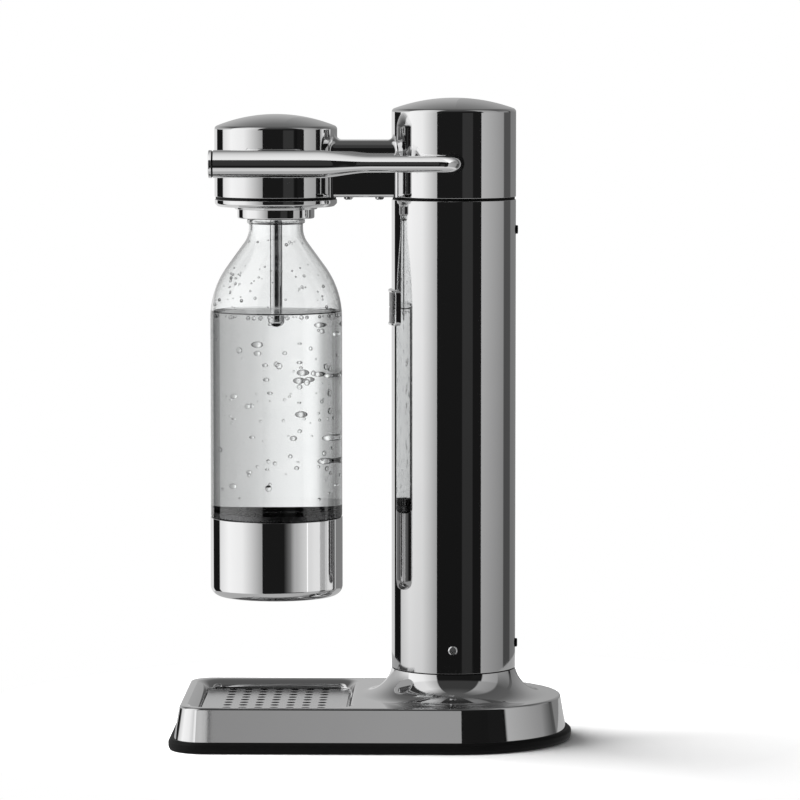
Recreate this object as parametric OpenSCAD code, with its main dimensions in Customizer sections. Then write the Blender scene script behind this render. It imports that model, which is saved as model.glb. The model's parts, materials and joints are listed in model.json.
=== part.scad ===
// Sparkling water maker with a pull-down lever: a polished stand whose column hides the
// gas cylinder, a lever valve in its cap, a bottle screwed in under the head and a drip grid.
// Millimetres. The origin lies on the floor under the middle of the base: +X is the rear,
// -X the bottle's side, -Y the lever's side and +Z up.

/* [Base] */
// Width of the rubber rim
base_w = 153; // [150:1:165]
// Height of the deck above the floor
base_h = 28.3; // [26:0.1:36]
// Radius of the rim's front corners
front_corner_r = 23; // [14:0.5:40]
// Height of the rubber rim
rim_h = 7; // [6:0.1:9]
// Width of the rim's foot
rim_w = 8.5; // [7:0.1:12]
// How far the rubber stands outside the steel wall
rim_lip = 3.3; // [2.5:0.1:5]
// Height of the rubber ledge that the steel wall stands on
rim_seat = 5.2; // [4:0.1:5.8]
// Rounding of the rim's edges
rim_round = 1.2; // [0.5:0.1:1.6]
// How far the steel wall leans in from foot to deck
wall_lean = 4; // [1:0.1:6]
// Rounding of the deck's edge
deck_edge_r = 1.6; // [0.6:0.1:3]
// Thickness of the base's steel sheet
sheet_t = 1.5; // [1:0.1:2]
// Thickness of the bottom plate
plate_t = 2.5; // [1.5:0.1:3.5]
// Height of the bottom plate above the floor
plate_lift = 2; // [1:0.1:3]

/* [Tray] */
// Distance from the rim's front to the tray's ledge
tray_front = 19; // [17:0.1:24]
// Distance from the rim's sides to the tray's ledge
tray_side = 19.5; // [18:0.1:24]
// Strip of deck between the tray and the flared neck
tray_gap = 1.5; // [1:0.1:6]
// Depth from the deck to the ledge
tray_depth = 6.9; // [5:0.1:9]
// How far the tray's walls lean out from ledge to deck
tray_lean = 5; // [2:0.1:6]
// Corner radius of the tray at the ledge
tray_corner_r = 9; // [7:0.5:16]
// Depth of the drip well below the ledge
well_depth = 8; // [4:0.1:9]
// Width of the ledge
ledge_w = 5; // [3:0.1:6]
// Thickness of the grid
grid_t = 1.2; // [0.8:0.1:2]
// Gap between the grid and the tray's wall
grid_gap = 0.8; // [0.4:0.1:1.5]
// Diameter of the grid's holes
grid_hole_d = 5.4; // [3:0.1:7]
// Distance from the tray's ends to the first holes
hole_in_x = 16.8; // [8:0.1:20]
// Distance from the tray's sides to the first holes
hole_in_y = 5.7; // [4:0.1:12]
// Holes along the tray
hole_cols = 7; // [3:1:7]
// Holes across the tray
hole_rows = 10; // [4:1:10]

/* [Column] */
// Diameter of the column
col_d = 80; // [78:0.5:90]
// Length of the column tube
col_len = 302.6; // [290:0.2:340]
// Wall of the column tube
col_wall = 1.6; // [1:0.1:2.2]
// Distance from the rim to the foot of the flared neck
flare_in = 15; // [12:0.1:18]
// Height of the flared neck over its width
flare_rise = 0.8047; // [0.5:0.0001:0.9]
// Thickness of the seam under the column
seam_t = 0.6; // [0.4:0.1:1.5]
// Thickness of the groove over the column and under the head
groove_t = 1.8; // [0.6:0.1:2.2]
// How far the seams sit in from the polished faces
seam_inset = 0.7; // [0.3:0.1:1.2]
// Wall of the sleeve that joins the column to the base
sleeve_t = 1.6; // [1:0.1:2.5]
// Length of the sleeve inside the column
sleeve_up = 30; // [24:1:60]
// Height of the side screws and the lower bumper above the seam
side_screw_up = 16; // [10:0.5:20]
// Diameter of the side screws' heads
side_screw_d = 5.8; // [4:0.1:8]
// Diameter of the rear bumpers
bumper_d = 5.6; // [4:0.1:9]
// How far the bumpers stand out
bumper_proud = 1.4; // [0.8:0.1:3]
// Drop from the column's top to the upper bumper
bumper_drop = 19.4; // [17:0.2:40]
// Drop from the column's top to the middle of the badge plate
badge_drop = 70; // [40:0.5:150]
// Height of the badge plate
badge_h = 23.2; // [12:0.2:36]
// Width of the badge plate
badge_w = 36; // [16:0.5:44]
// How far the badge plate stands out
badge_t = 1.6; // [1.2:0.1:2.5]

/* [Upper housing] */
// Wall of the housing
house_wall = 1.6; // [1:0.1:2]
// Straight height of the cap over the column
cap_h = 56.1; // [52:0.1:70]
// Rise of the cap's dome
cap_dome = 7.3; // [5:0.1:10]
// Distance from the rim's front to the bottle's axis
bottle_in = 67; // [60:0.5:72]
// Distance from the bottle's axis to the column's axis
reach = 114.5; // [100:0.5:130]
// Diameter of the head
head_d = 79; // [76:0.5:84]
// Straight height of the head
head_h = 44.9; // [42:0.1:52]
// Rise of the head's dome
head_dome = 8; // [5:0.1:11]
// Rounding between the walls and the domes
dome_edge_r = 2.6; // [2.2:0.1:4]
// Width of the arm
arm_w = 35; // [32:0.5:44]
// Height of the arm
arm_h = 36.4; // [32:0.2:42]
// Rounding of the arm's upper edges
arm_round = 7; // [3:0.5:10]
// Radius of the fillets where the arm meets the head and the cap
arm_fillet = 4; // [2:0.5:6]
// Thickness of the plate under the arm
arm_cover_t = 1.2; // [1:0.1:2]
// Distance from the arm's ends to the screws under it
arm_screw_in = 7.5; // [5:0.5:9]

/* [Head underside] */
// Drop of the dished cover below the housing
cover_drop = 8.2; // [7.5:0.1:10]
// Wall of the dished cover
cover_wall = 2; // [1.4:0.1:3]
// Rounding of the cover's lower edge
cover_round = 2.4; // [1:0.1:3]
// Diameter of the bottle collar
collar_d = 49.6; // [48:0.2:54]
// Bore of the bottle collar
collar_bore = 39; // [38.6:0.2:42]
// Drop of the collar below the housing
collar_drop = 14.1; // [11:0.1:16]
// Rise of the collar into the head
collar_rise = 8.4; // [6:0.1:12]
// Diameter of the collar's flange
flange_d = 64; // [58:0.5:66]
// Thickness of the rubber seal over the bottle's mouth
bottle_seal_t = 2.5; // [1.5:0.1:4]
// Height of the nozzle block
block_h = 14; // [12:0.5:15]
// Thickness of the support plate in the head
head_plate_t = 2; // [1.2:0.1:3]
// Diameter of the nozzle tube
nozzle_d = 8; // [5:0.1:9]
// Wall of the nozzle tube
nozzle_wall = 1.1; // [0.6:0.1:1.5]
// Length of the nozzle tube below its block
nozzle_len = 88; // [60:1:110]
// Length of the nozzle's tip
tip_len = 4; // [2:0.1:8]

/* [Lever] */
// Height of the lever's shaft above the housing's foot
shaft_up = 22.3; // [22:0.1:26]
// Distance from the shaft to the end of the handle
lever_reach = 154.5; // [140:0.5:162]
// Distance from the middle plane to the handle
lever_side = 54; // [53:0.5:66]
// Diameter of the handle
handle_d = 17.7; // [14:0.1:19]
// Length of the thick handle
handle_len = 65; // [50:1:85]
// Length of the taper from handle to rod
taper_len = 36; // [15:1:40]
// Diameter of the rod and shaft
rod_d = 10.5; // [7:0.1:10.8]
// Radius of the bend into the shaft
bend_r = 10; // [7:0.5:11]
// Thickness of the disc on the handle's end
end_cap_t = 2.5; // [1.5:0.1:5]
// Turn of the lever from rest to fully pulled
lever_turn = 28; // [16:1:34]

/* [Valve] */
// Push of the plunger at full turn
plunge = 1.6; // [1:0.1:1.8]
// Distance from the shaft's axis to the cam's low point at rest
cam_low = 7; // [6.6:0.1:8]
// Width of the cam
cam_w = 10; // [6:0.5:14]
// Diameter of the plunger's stem
stem_d = 5; // [4:0.1:6]
// Thickness of the plunger's button
button_t = 2; // [1.5:0.1:3]
// Length of the plunger's spring at rest
spring_len = 4.4; // [4.2:0.1:6]
// Wire of the plunger's spring
spring_wire = 0.7; // [0.5:0.05:0.75]
// Turns of the plunger's spring
spring_turns = 3; // [2:0.5:3]
// Height of the valve body from its sealing face to its top
valve_h = 12.2; // [11.6:0.1:16]
// Diameter of the valve body above its flange
valve_d = 22; // [20:0.5:23]
// Diameter of the valve body's flange
valve_flange_d = 40; // [39:0.5:44]
// Thickness of the valve body's flange
valve_flange_t = 3; // [2:0.1:4]
// Depth of the socket that the cylinder screws into
socket_depth = 15; // [10:0.5:18]
// Wall of that socket
socket_wall = 2.4; // [1.5:0.1:4]
// Thickness of the valve's seal
valve_seal_t = 2; // [1:0.1:3]
// Outside diameter of the gas tube
tube_d = 5; // [4:0.1:5.6]
// Bore of the gas tube
tube_bore = 3; // [1.5:0.1:3.4]
// Radius of the gas tube's bends
tube_bend_r = 16; // [10:0.5:18]

/* [Gas cylinder] */
// Diameter of the gas cylinder
cyl_d = 60; // [54:0.5:62]
// Wall of the gas cylinder
cyl_wall = 2.5; // [1.5:0.1:4]
// Height of the gas cylinder's foot above the floor
cyl_lift = 3; // [1:0.1:6]
// Radius of the cylinder's shoulder
cyl_shoulder_r = 24; // [20:0.5:26]
// Diameter of the cylinder's neck
cyl_neck_d = 28; // [26:0.5:34]
// Diameter of the screwed spigot on the cylinder's valve
spigot_d = 21; // [19:0.2:22]
// Height of the valve's collar on the cylinder
cyl_collar_h = 9; // [6:0.2:12]
// Diameter of the pin in the cylinder's valve
pin_d = 3; // [2:0.1:4]
// How far that pin stands out
pin_proud = 2; // [1.9:0.1:2.5]

/* [Bottle] */
// Diameter of the bottle
bottle_d = 85; // [80:0.5:86]
// Height of the bottle from the cup's foot to the mouth
bottle_h = 263.7; // [240:0.5:266]
// Wall of the bottle
bottle_wall = 1.4; // [0.8:0.1:2]
// Drop from the mouth to the start of the shoulder
shoulder_drop = 84.2; // [82:0.2:120]
// Radius of the round shoulder
shoulder_r = 57; // [50:1:65]
// Lean of the cone between shoulder and neck
shoulder_a = 36; // [30:0.5:42]
// Radius of the hollow between cone and neck
neck_fillet = 16; // [10:0.5:20]
// Outside diameter of the neck
neck_d = 34.8; // [32:0.2:36]
// Diameter of the ring on the neck
neck_ring_d = 37.4; // [36.6:0.2:38.4]
// Height of the ring on the neck
neck_ring_h = 3; // [2:0.1:4]
// Rise of the dome under the bottle
punt_h = 9; // [3:0.5:14]
// Height of the steel cup
cup_h = 51; // [36:0.5:70]
// Wall of the steel cup
cup_t = 1; // [0.6:0.1:1.5]
// How far the cup stands out of the bottle's side
cup_proud = 0.2; // [0.1:0.1:0.6]
// Rounding of the cup's lower edge
cup_edge_r = 9.5; // [5:0.5:14]

/* [Fits and screws] */
// Gap between pieces that move against each other
move_gap = 0.3; // [0.25:0.05:0.6]
// Radial gap of a shaft or stem that runs in a bore
run_gap = 0.05; // [0.02:0.01:0.1]
// Gap between pieces that are fixed together
seat_gap = 0.1; // [0.05:0.01:0.15]
// Gap between the gas cylinder and its port in the base
port_gap = 1; // [0.5:0.1:2]
// Diameter of the screws' shanks
screw_d = 3; // [2.5:0.1:3.2]
// Diameter of the screws' heads
screw_head_d = 5.5; // [5:0.1:6]
// Height of the screws' heads
screw_head_h = 1.6; // [1:0.1:1.8]
// Width over the corners of the hex sockets in the screws' heads
screw_socket_d = 2.9; // [2:0.1:3.2]

/* [Hidden] */
$fn = 64;
over = 1;

// Places along the stand
half_w = base_w / 2;
base_len = bottle_in + reach + half_w;
front_x = -base_len / 2;
head_x = front_x + bottle_in;
col_x = head_x + reach;

// Flared neck of the base: an arc that ends level on the deck
flare_x = half_w - flare_in;
flare_w = flare_x - col_d / 2;
flare_h = flare_w * flare_rise;
flare_r = (flare_w ^ 2 + flare_h ^ 2) / (2 * flare_h);
flare_z = base_h + flare_r;
flare_a = 180 + asin((flare_r - flare_h) / flare_r);

// Tray between the front wall and the flared neck
tray_w = base_w - 2 * tray_side;
tray_len = col_x - flare_x - tray_gap - tray_lean - front_x - tray_front;
tray_x = front_x + tray_front + tray_len / 2;
hole_pitch_x = (tray_len - 2 * hole_in_x) / (hole_cols - 1);
hole_pitch_y = (tray_w - 2 * hole_in_y) / (hole_rows - 1);

// Heights, from the floor up
plate_top = plate_lift + plate_t;
ledge_z = base_h - tray_depth;
well_z = ledge_z - well_depth;
grid_z = ledge_z + seat_gap;
seam_z = base_h + flare_h;
col_z = seam_z + seam_t;
col_top = col_z + col_len;
house_z = col_top + groove_t;
shaft_z = house_z + shaft_up;
collar_z = house_z - collar_drop;
collar_top = house_z + collar_rise;
cover_z = house_z - cover_drop;
cover_top = house_z - groove_t;
cover_floor = cover_top - cover_wall - move_gap;
flange_t = cover_wall;
block_top = collar_top + block_h;
plate_head_z = block_top + head_plate_t;
nozzle_end = collar_top - nozzle_len;
mouth_z = collar_top - bottle_seal_t - move_gap;
cup_z = mouth_z - bottle_h;

// Radii
col_r = col_d / 2;
head_r = head_d / 2;
rod_r = rod_d / 2;
handle_r = handle_d / 2;
collar_r = collar_d / 2;
bore_r = collar_bore / 2;
sleeve_r = col_r - col_wall - seat_gap;
carrier_r = col_r - max(col_wall, house_wall) - seat_gap;
screw_r = screw_d / 2;
hole_r = screw_r + seat_gap;

// Screws under the base: four under the well, two behind the column
boss_r = screw_r + 2.2;
boss_in = 1.5;
rear_boss_out = half_w - rim_w - screw_head_d / 2 - boss_in;
rear_boss_a = 38;
well_boss_x = tray_len / 2 - ledge_w - 2 * boss_r;
well_boss_y = tray_w / 2 - ledge_w - 2 * boss_r;
base_screw_at = concat(
  [for (sx = [-1, 1], sy = [-1, 1]) [tray_x + sx * well_boss_x, sy * well_boss_y]],
  [for (s = [-1, 1]) [col_x + rear_boss_out * cos(rear_boss_a), s * rear_boss_out * sin(rear_boss_a)]]
);
base_screw_len = well_z - sheet_t - plate_lift;

// Valve stack, from the cam down to the cylinder
button_top = shaft_z - cam_low - move_gap;
button_z = button_top - button_t;
valve_top = button_z - spring_len;
valve_seat = valve_top - valve_h;
spigot_top = valve_seat - valve_seal_t - seat_gap;
pin_top = spigot_top + pin_proud;
stem_r = stem_d / 2;
valve_r = valve_d / 2;
valve_flange_r = valve_flange_d / 2;
socket_r = spigot_d / 2 + move_gap;
socket_out_r = socket_r + socket_wall;
socket_z = spigot_top - socket_depth;
valve_flange_top = valve_seat + 1;
valve_flange_z = valve_flange_top - valve_flange_t;
bracket_t = 2;
bracket_z = valve_flange_z - bracket_t;
web_t = 2.5;
web_z = bracket_z - web_t;
bracket_screw_out = (valve_r + valve_flange_r) / 2 + 0.6;
carrier_t = 1.6;
carrier_low = web_z - 4;
carrier_high = house_z + 11;
ear_t = 2.5;
ear_y = valve_flange_r + 1;
ear_w = rod_d + 9;
shaft_end = ear_y + ear_t + 5;
clip_y = ear_y + ear_t + move_gap;
clip_t = 1;
clip_r = rod_r - 1;
bush_t = 1.8;
bush_len = 7;

// The cam's lobe is an involute, so a flat button under it moves in step with the lever
cam_rate = plunge / (lever_turn * PI / 180);
cam_hub_r = cam_low - 0.5;
cam_pin_r = 1.2;
button_r = cam_rate + 3;
spring_r = stem_r + spring_wire + 0.4;

// Gas tube through the arm, from the valve's outlet to the nozzle block
outlet_r = tube_d / 2 + 2.4;
outlet_len = 7;
outlet_drop = 0.2;
outlet_z = valve_top - outlet_r - outlet_drop;
outlet_x = col_x - valve_r - outlet_len;
inlet_len = 5;
inlet_z = collar_top + block_h / 2;
block_r = collar_r - 2;
inlet_x = head_x + block_r + inlet_len;
nut_len = 7;
nut_r = outlet_r + 0.6;
tube_turn = acos(1 - (inlet_z - outlet_z) / (2 * tube_bend_r));
tube_mid_x = (outlet_x + inlet_x) / 2;

// Head screws and relief valve
head_screw_out = block_r - 7;
head_screw_a = [30, 150, 270];
relief_y = head_screw_out - 3;
relief_r = 4.5;
relief_depth = 6;
head_screw_depth = 7;
nozzle_socket = block_h * 0.7;
cap_spigot = 7;

// Gas cylinder
cyl_r = cyl_d / 2;
cyl_neck_r = cyl_neck_d / 2;
cyl_collar_r = cyl_neck_r + 1;
cyl_neck_z = socket_z - 3 - cyl_collar_h;
cyl_neck_len = 10;
cyl_foot_r = 8;
cyl_shoulder_z = cyl_neck_z - cyl_neck_len
  - cyl_shoulder_r * sin(acos((cyl_neck_r - cyl_r + cyl_shoulder_r) / cyl_shoulder_r));
cyl_stem_r = cyl_neck_r - 4;
cyl_stem_len = 16;
port_r = cyl_r + port_gap;
port_rim_t = 2;
port_rim_h = 8;

// Bottle: an arc, a cone and a hollow arc lead from its side to its neck
bottle_r = bottle_d / 2;
neck_r = neck_d / 2;
neck_ring_r = neck_ring_d / 2;
shoulder_z = mouth_z - shoulder_drop;
shoulder_x = bottle_r - shoulder_r;
neck_x = neck_r + neck_fillet;
neck_z = shoulder_z + (shoulder_r + neck_fillet - (neck_x - shoulder_x) * cos(shoulder_a)) / sin(shoulder_a);
neck_ring_z = collar_z - move_gap - neck_ring_h;
cup_r = bottle_r + cup_proud;
foot_r = cup_r - cup_t - seat_gap;
foot_z = cup_z + cup_t + seat_gap;
foot_edge_r = cup_edge_r - cup_t - seat_gap;
foot_a = 280;
punt_w = foot_r - foot_edge_r;
punt_r = (punt_w ^ 2 + punt_h ^ 2) / (2 * punt_h);
step_z = cup_z + cup_h + seat_gap;

// Points on an arc
function arc(x, y, r, a0, a1, n = 8) =
  [for (i = [0:n]) let (a = a0 + (a1 - a0) * i / n) [x + r * cos(a), y + r * sin(a)]];

// A list from its end to its start
function reversed(list) = [for (i = [len(list) - 1:-1:0]) list[i]];

// Inset of the steel wall from the rim's outline at height z
function wall_in(z) = rim_lip + wall_lean * (z - rim_seat) / (base_h - rim_seat);

// Solid with the base's outline, from a list of [inset, height] up its side
module base_solid(edge) {
  side = half_w - front_corner_r;
  corner_x = front_x + front_corner_r;
  z0 = edge[0][1];
  z1 = edge[len(edge) - 1][1];
  translate([col_x, 0, 0])
    rotate([0, 0, -90])
      rotate_extrude(angle = 180)
        polygon(concat([[0, z0]], [for (p = edge) [half_w - p[0], p[1]]], [[0, z1]]));
  for (turn = [90, 180])
    translate([corner_x, turn == 90 ? side : -side, 0])
      rotate([0, 0, turn])
        rotate_extrude(angle = 90)
          polygon(concat([[0, z0]], [for (p = edge) [front_corner_r - p[0], p[1]]], [[0, z1]]));
  translate([corner_x, 0, 0])
    rotate([90, 0, 90])
      linear_extrude(col_x - corner_x)
        polygon(concat([for (p = edge) [half_w - p[0], p[1]]],
                       reversed([for (p = edge) [p[0] - half_w, p[1]]])));
  translate([0, side, 0])
    rotate([90, 0, 0])
      linear_extrude(2 * side)
        polygon(concat([[corner_x, z0]], [for (p = edge) [front_x + p[0], p[1]]], [[corner_x, z1]]));
}

// Block with the base's outline, set in by in_low at z0 and in_high at z1
module base_block(in_low, in_high, z0, z1) {
  base_solid([[in_low, z0], [in_high, z1]]);
}

// Block with the tray's outline, grown by out_low at z0 and out_high at z1
module tray_block(out_low, out_high, z0, z1) {
  cx = tray_len / 2 - tray_corner_r;
  cy = tray_w / 2 - tray_corner_r;
  low = tray_corner_r + out_low;
  high = tray_corner_r + out_high;
  translate([tray_x, 0, 0]) {
    for (sx = [-1, 1], sy = [-1, 1])
      translate([sx * cx, sy * cy, z0])
        cylinder(r1 = low, r2 = high, h = z1 - z0);
    translate([-cx, 0, 0])
      rotate([90, 0, 90])
        linear_extrude(2 * cx)
          polygon([[-cy - low, z0], [cy + low, z0], [cy + high, z1], [-cy - high, z1]]);
    translate([0, cy, 0])
      rotate([90, 0, 0])
        linear_extrude(2 * cy)
          polygon([[-cx - low, z0], [cx + low, z0], [cx + high, z1], [-cx - high, z1]]);
  }
}

// Plain ring about the Z axis at x
module ring(x, r_in, r_out, z0, z1) {
  translate([x, 0, z0])
    difference() {
      cylinder(r = r_out, h = z1 - z0);
      translate([0, 0, -over])
        cylinder(r = r_in, h = z1 - z0 + 2 * over);
    }
}

// Screw standing on its tip: a shank of the given length under a chamfered head with a hex socket
module screw(len, head_d = screw_head_d) {
  socket = screw_head_h * 0.7;
  cylinder(d = screw_d, h = len);
  translate([0, 0, len])
    difference() {
      rotate_extrude()
        polygon([[0, 0], [head_d / 2, 0], [head_d / 2, screw_head_h * 0.6],
                 [head_d / 2 - screw_head_h * 0.4, screw_head_h], [0, screw_head_h]]);
      translate([0, 0, screw_head_h - socket])
        cylinder(d = screw_socket_d, h = socket + over, $fn = 6);
    }
}

// Wall with a rounded shoulder and a shallow dome, from z0 up to the dome's top
module domed(r, z0, top, dome, edge) {
  dome_r = (r ^ 2 + dome ^ 2) / (2 * dome);
  centre = top - dome_r;
  edge_z = centre + sqrt((dome_r - edge) ^ 2 - (r - edge) ^ 2);
  edge_a = atan2(edge_z - centre, r - edge);
  rotate_extrude()
    polygon(concat([[0, z0], [r, z0]],
                   arc(r - edge, edge_z, edge, 0, edge_a, 5),
                   arc(0, centre, dome_r, edge_a, 90, 8)));
}

// The base's steel walls and deck as a solid
module base_form() {
  edge_z = base_h - deck_edge_r;
  edge_in = wall_in(edge_z);
  base_solid(concat([[wall_in(rim_seat), rim_seat]],
                    [for (a = [0, 30, 60, 90])
                      [edge_in + deck_edge_r * (1 - cos(a)), edge_z + deck_edge_r * sin(a)]]));
  translate([col_x, 0, 0])
    rotate_extrude()
      polygon(concat([[0, base_h - sheet_t / 2], [0, seam_z]],
                     arc(flare_x, flare_z, flare_r, flare_a, 270, 10),
                     [[flare_x, base_h - sheet_t / 2]]));
}

// The room inside the base's sheet
module base_room() {
  top = base_h - sheet_t;
  base_block(wall_in(rim_seat - over) + sheet_t, wall_in(top) + sheet_t, rim_seat - over, top);
  room_r = flare_r + sheet_t;
  room_a = 215;
  translate([col_x, 0, 0])
    rotate_extrude()
      polygon(concat([[0, top - over], [0, seam_z + over], [sleeve_r + seat_gap, seam_z + over]],
                     [[sleeve_r + seat_gap, seam_z - 2 * sheet_t]],
                     arc(flare_x, flare_z, room_r, room_a, 270, 8),
                     [[flare_x, top - over]]));
}

// The tray's sheet seen from below, as a solid
module tray_form() {
  tray_block(sheet_t, tray_lean + sheet_t, ledge_z - sheet_t, base_h - sheet_t / 2);
  tray_block(sheet_t - ledge_w, sheet_t - ledge_w, well_z - sheet_t, ledge_z - sheet_t / 2);
}

module base_shell() {
  color("silver")
    difference() {
      base_form();
      difference() {
        base_room();
        tray_form();
        for (p = base_screw_at)
          translate([p[0], p[1], plate_top])
            cylinder(r = boss_r, h = base_h);
      }
      tray_block(0, tray_lean * (tray_depth + over) / tray_depth, ledge_z, base_h + over);
      tray_block(-ledge_w, -ledge_w, well_z, ledge_z + over);
      for (p = base_screw_at)
        translate([p[0], p[1], 0])
          cylinder(r = hole_r, h = plate_lift + base_screw_len + seat_gap);
    }
}

module rubber_rim() {
  color("#181818")
    difference() {
      base_solid([[rim_round, 0], [0, rim_round], [0, rim_h - rim_round], [rim_round, rim_h]]);
      base_block(rim_w, rim_w, -over, rim_seat + over / 2);
      base_block(wall_in(rim_seat) - seat_gap, wall_in(rim_h + over) - seat_gap, rim_seat, rim_h + over);
    }
}

module base_plate() {
  color("#222222")
    difference() {
      union() {
        base_block(rim_w + seat_gap, rim_w + seat_gap, plate_lift, plate_top);
        ring(col_x, port_r, port_r + port_rim_t, plate_lift, plate_top + port_rim_h);
      }
      translate([col_x, 0, 0])
        cylinder(r = port_r, h = base_h);
      for (p = base_screw_at)
        translate([p[0], p[1], 0]) {
          cylinder(r = hole_r, h = base_h);
          cylinder(d = screw_head_d + 2 * seat_gap, h = plate_lift + screw_head_h);
        }
    }
}

module base_screws() {
  len = base_screw_len - screw_head_h;
  color("dimgray")
    for (p = base_screw_at)
      translate([p[0], p[1], plate_lift + screw_head_h + len])
        mirror([0, 0, 1])
          screw(len);
}

module drip_grid() {
  fold = 2.2;
  fold_in = ledge_w + grid_gap;
  color("lightgray")
    difference() {
      union() {
        tray_block(-grid_gap, -grid_gap, grid_z, grid_z + grid_t);
        difference() {
          tray_block(-fold_in, -fold_in, grid_z - fold, grid_z + grid_t / 2);
          tray_block(-fold_in - grid_t, -fold_in - grid_t, grid_z - fold - over, grid_z);
        }
      }
      for (i = [0:hole_cols - 1], j = [0:hole_rows - 1])
        translate([
          tray_x + (i - (hole_cols - 1) / 2) * hole_pitch_x,
          (j - (hole_rows - 1) / 2) * hole_pitch_y,
          grid_z - over])
          cylinder(d = grid_hole_d, h = grid_t + 2 * over);
    }
}

module column_sleeve() {
  color("gray")
    difference() {
      ring(col_x, sleeve_r - sleeve_t, sleeve_r, plate_top, seam_z + sleeve_up);
      translate([col_x, 0, seam_z + side_screw_up])
        rotate([90, 0, 0])
          cylinder(r = hole_r, h = col_d, center = true);
    }
}

module lower_gasket() {
  color("black")
    ring(col_x, sleeve_r + seat_gap, col_r - seam_inset, seam_z, col_z);
}

module column_tube() {
  color("silver")
    difference() {
      ring(col_x, col_r - col_wall, col_r, col_z, col_top);
      translate([col_x, 0, seam_z + side_screw_up])
        rotate([90, 0, 0])
          cylinder(r = hole_r, h = col_d + over, center = true);
      for (z = [seam_z + side_screw_up, col_top - bumper_drop])
        translate([col_x, 0, z])
          rotate([0, 90, 0])
            cylinder(d = bumper_d / 2 + 2 * seat_gap, h = col_r + over);
    }
}

module column_screws() {
  len = col_wall + sleeve_t;
  color("gray")
    for (s = [-1, 1])
      translate([col_x, s * (col_r - len), seam_z + side_screw_up])
        rotate([-s * 90, 0, 0])
          screw(len, side_screw_d);
}

module rear_bumpers() {
  edge = bumper_proud / 2;
  color("#181818")
    for (z = [seam_z + side_screw_up, col_top - bumper_drop])
      translate([col_x + col_r - col_wall, 0, z])
        rotate([0, 90, 0]) {
          cylinder(d = bumper_d / 2, h = col_wall);
          translate([0, 0, col_wall])
            rotate_extrude()
              polygon(concat([[0, 0], [bumper_d / 2, 0]],
                             arc(bumper_d / 2 - edge, edge, edge, 0, 90, 4),
                             [[0, bumper_proud]]));
        }
}

// Upright plate with round corners, as a bar along X
module badge_bar(grow, len) {
  r = 4 + grow;
  w = badge_w / 2 + grow - r;
  h = badge_h / 2 + grow - r;
  rotate([90, 0, -90])
    linear_extrude(len) {
      square([2 * w, 2 * (h + r)], center = true);
      square([2 * (w + r), 2 * h], center = true);
      for (sx = [-1, 1], sy = [-1, 1])
        translate([sx * w, sy * h])
          circle(r);
    }
}

module badge_plate() {
  rim = 1.4;
  sunk = 0.6;
  color("dimgray")
    translate([col_x, 0, col_top - badge_drop])
      difference() {
        intersection() {
          badge_bar(0, col_d);
          cylinder(r = col_r + badge_t, h = 2 * badge_h, center = true);
        }
        cylinder(r = col_r + seat_gap, h = 2 * badge_h, center = true);
        difference() {
          badge_bar(-rim, col_d);
          cylinder(r = col_r + badge_t - sunk, h = 2 * badge_h, center = true);
        }
      }
}

module upper_gasket() {
  color("black")
    ring(col_x, carrier_r + seat_gap, col_r - seam_inset, col_top, house_z);
}

// Cap, arm and head as a solid, set in by t, with its foot at z
module housing_form(t, z) {
  r = arm_round - t;
  w = arm_w / 2 - t;
  top = house_z + arm_h - t;
  translate([col_x, 0, 0])
    domed(col_r - t, z, house_z + cap_h + cap_dome - t, cap_dome, dome_edge_r - t);
  translate([head_x, 0, 0])
    domed(head_r - t, z, house_z + head_h + head_dome - t, head_dome, dome_edge_r - t);
  translate([head_x, 0, 0])
    rotate([90, 0, 90])
      linear_extrude(reach) {
        translate([-w, z])
          square([2 * w, top - r - z]);
        translate([r - w, z])
          square([2 * (w - r), top - z]);
        for (s = [-1, 1])
          translate([s * (w - r), top - r])
            circle(r);
      }
}

// Upright fillet between the arm's side and a round of radius r whose axis is at the origin
module fillet_post(r) {
  y = arm_w / 2 + arm_fillet;
  x = sqrt((r + arm_fillet) ^ 2 - y ^ 2);
  a = atan2(y, x);
  linear_extrude(arm_h - arm_round)
    polygon(concat([[x, arm_w / 2 - house_wall / 2]],
                   arc(x, y, arm_fillet, 270, 180 + a, 6),
                   [[(r - house_wall / 2) * cos(a), (r - house_wall / 2) * sin(a)]],
                   [[x - arm_fillet, arm_w / 2 - house_wall / 2]]));
}

arm_x = [head_x + head_r + arm_screw_in, col_x - col_r - arm_screw_in];
arm_boss_r = screw_r + 1.6;
arm_boss_y = arm_w / 2 - house_wall - arm_boss_r + 0.6;
arm_screw_at = [for (x = arm_x, sy = [-1, 1]) [x, sy * arm_boss_y]];
arm_screw_len = 8;

module upper_housing() {
  boss_z = house_z + arm_cover_t;
  color("silver")
    difference() {
      union() {
        housing_form(0, house_z);
        for (s = [0, 1])
          mirror([0, s, 0]) {
            translate([head_x, 0, house_z])
              fillet_post(head_r);
            translate([col_x, 0, house_z])
              mirror([1, 0, 0])
                fillet_post(col_r);
          }
      }
      difference() {
        housing_form(house_wall, house_z - over);
        for (p = arm_screw_at)
          translate([p[0], p[1], boss_z])
            cylinder(r = arm_boss_r, h = arm_screw_len + 2);
      }
      for (p = arm_screw_at)
        translate([p[0], p[1], house_z])
          cylinder(r = hole_r, h = arm_screw_len + seat_gap);
      translate([col_x, 0, shaft_z])
        rotate([90, 0, 0])
          cylinder(r = rod_r + bush_t + seat_gap, h = col_r + over);
    }
}

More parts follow.
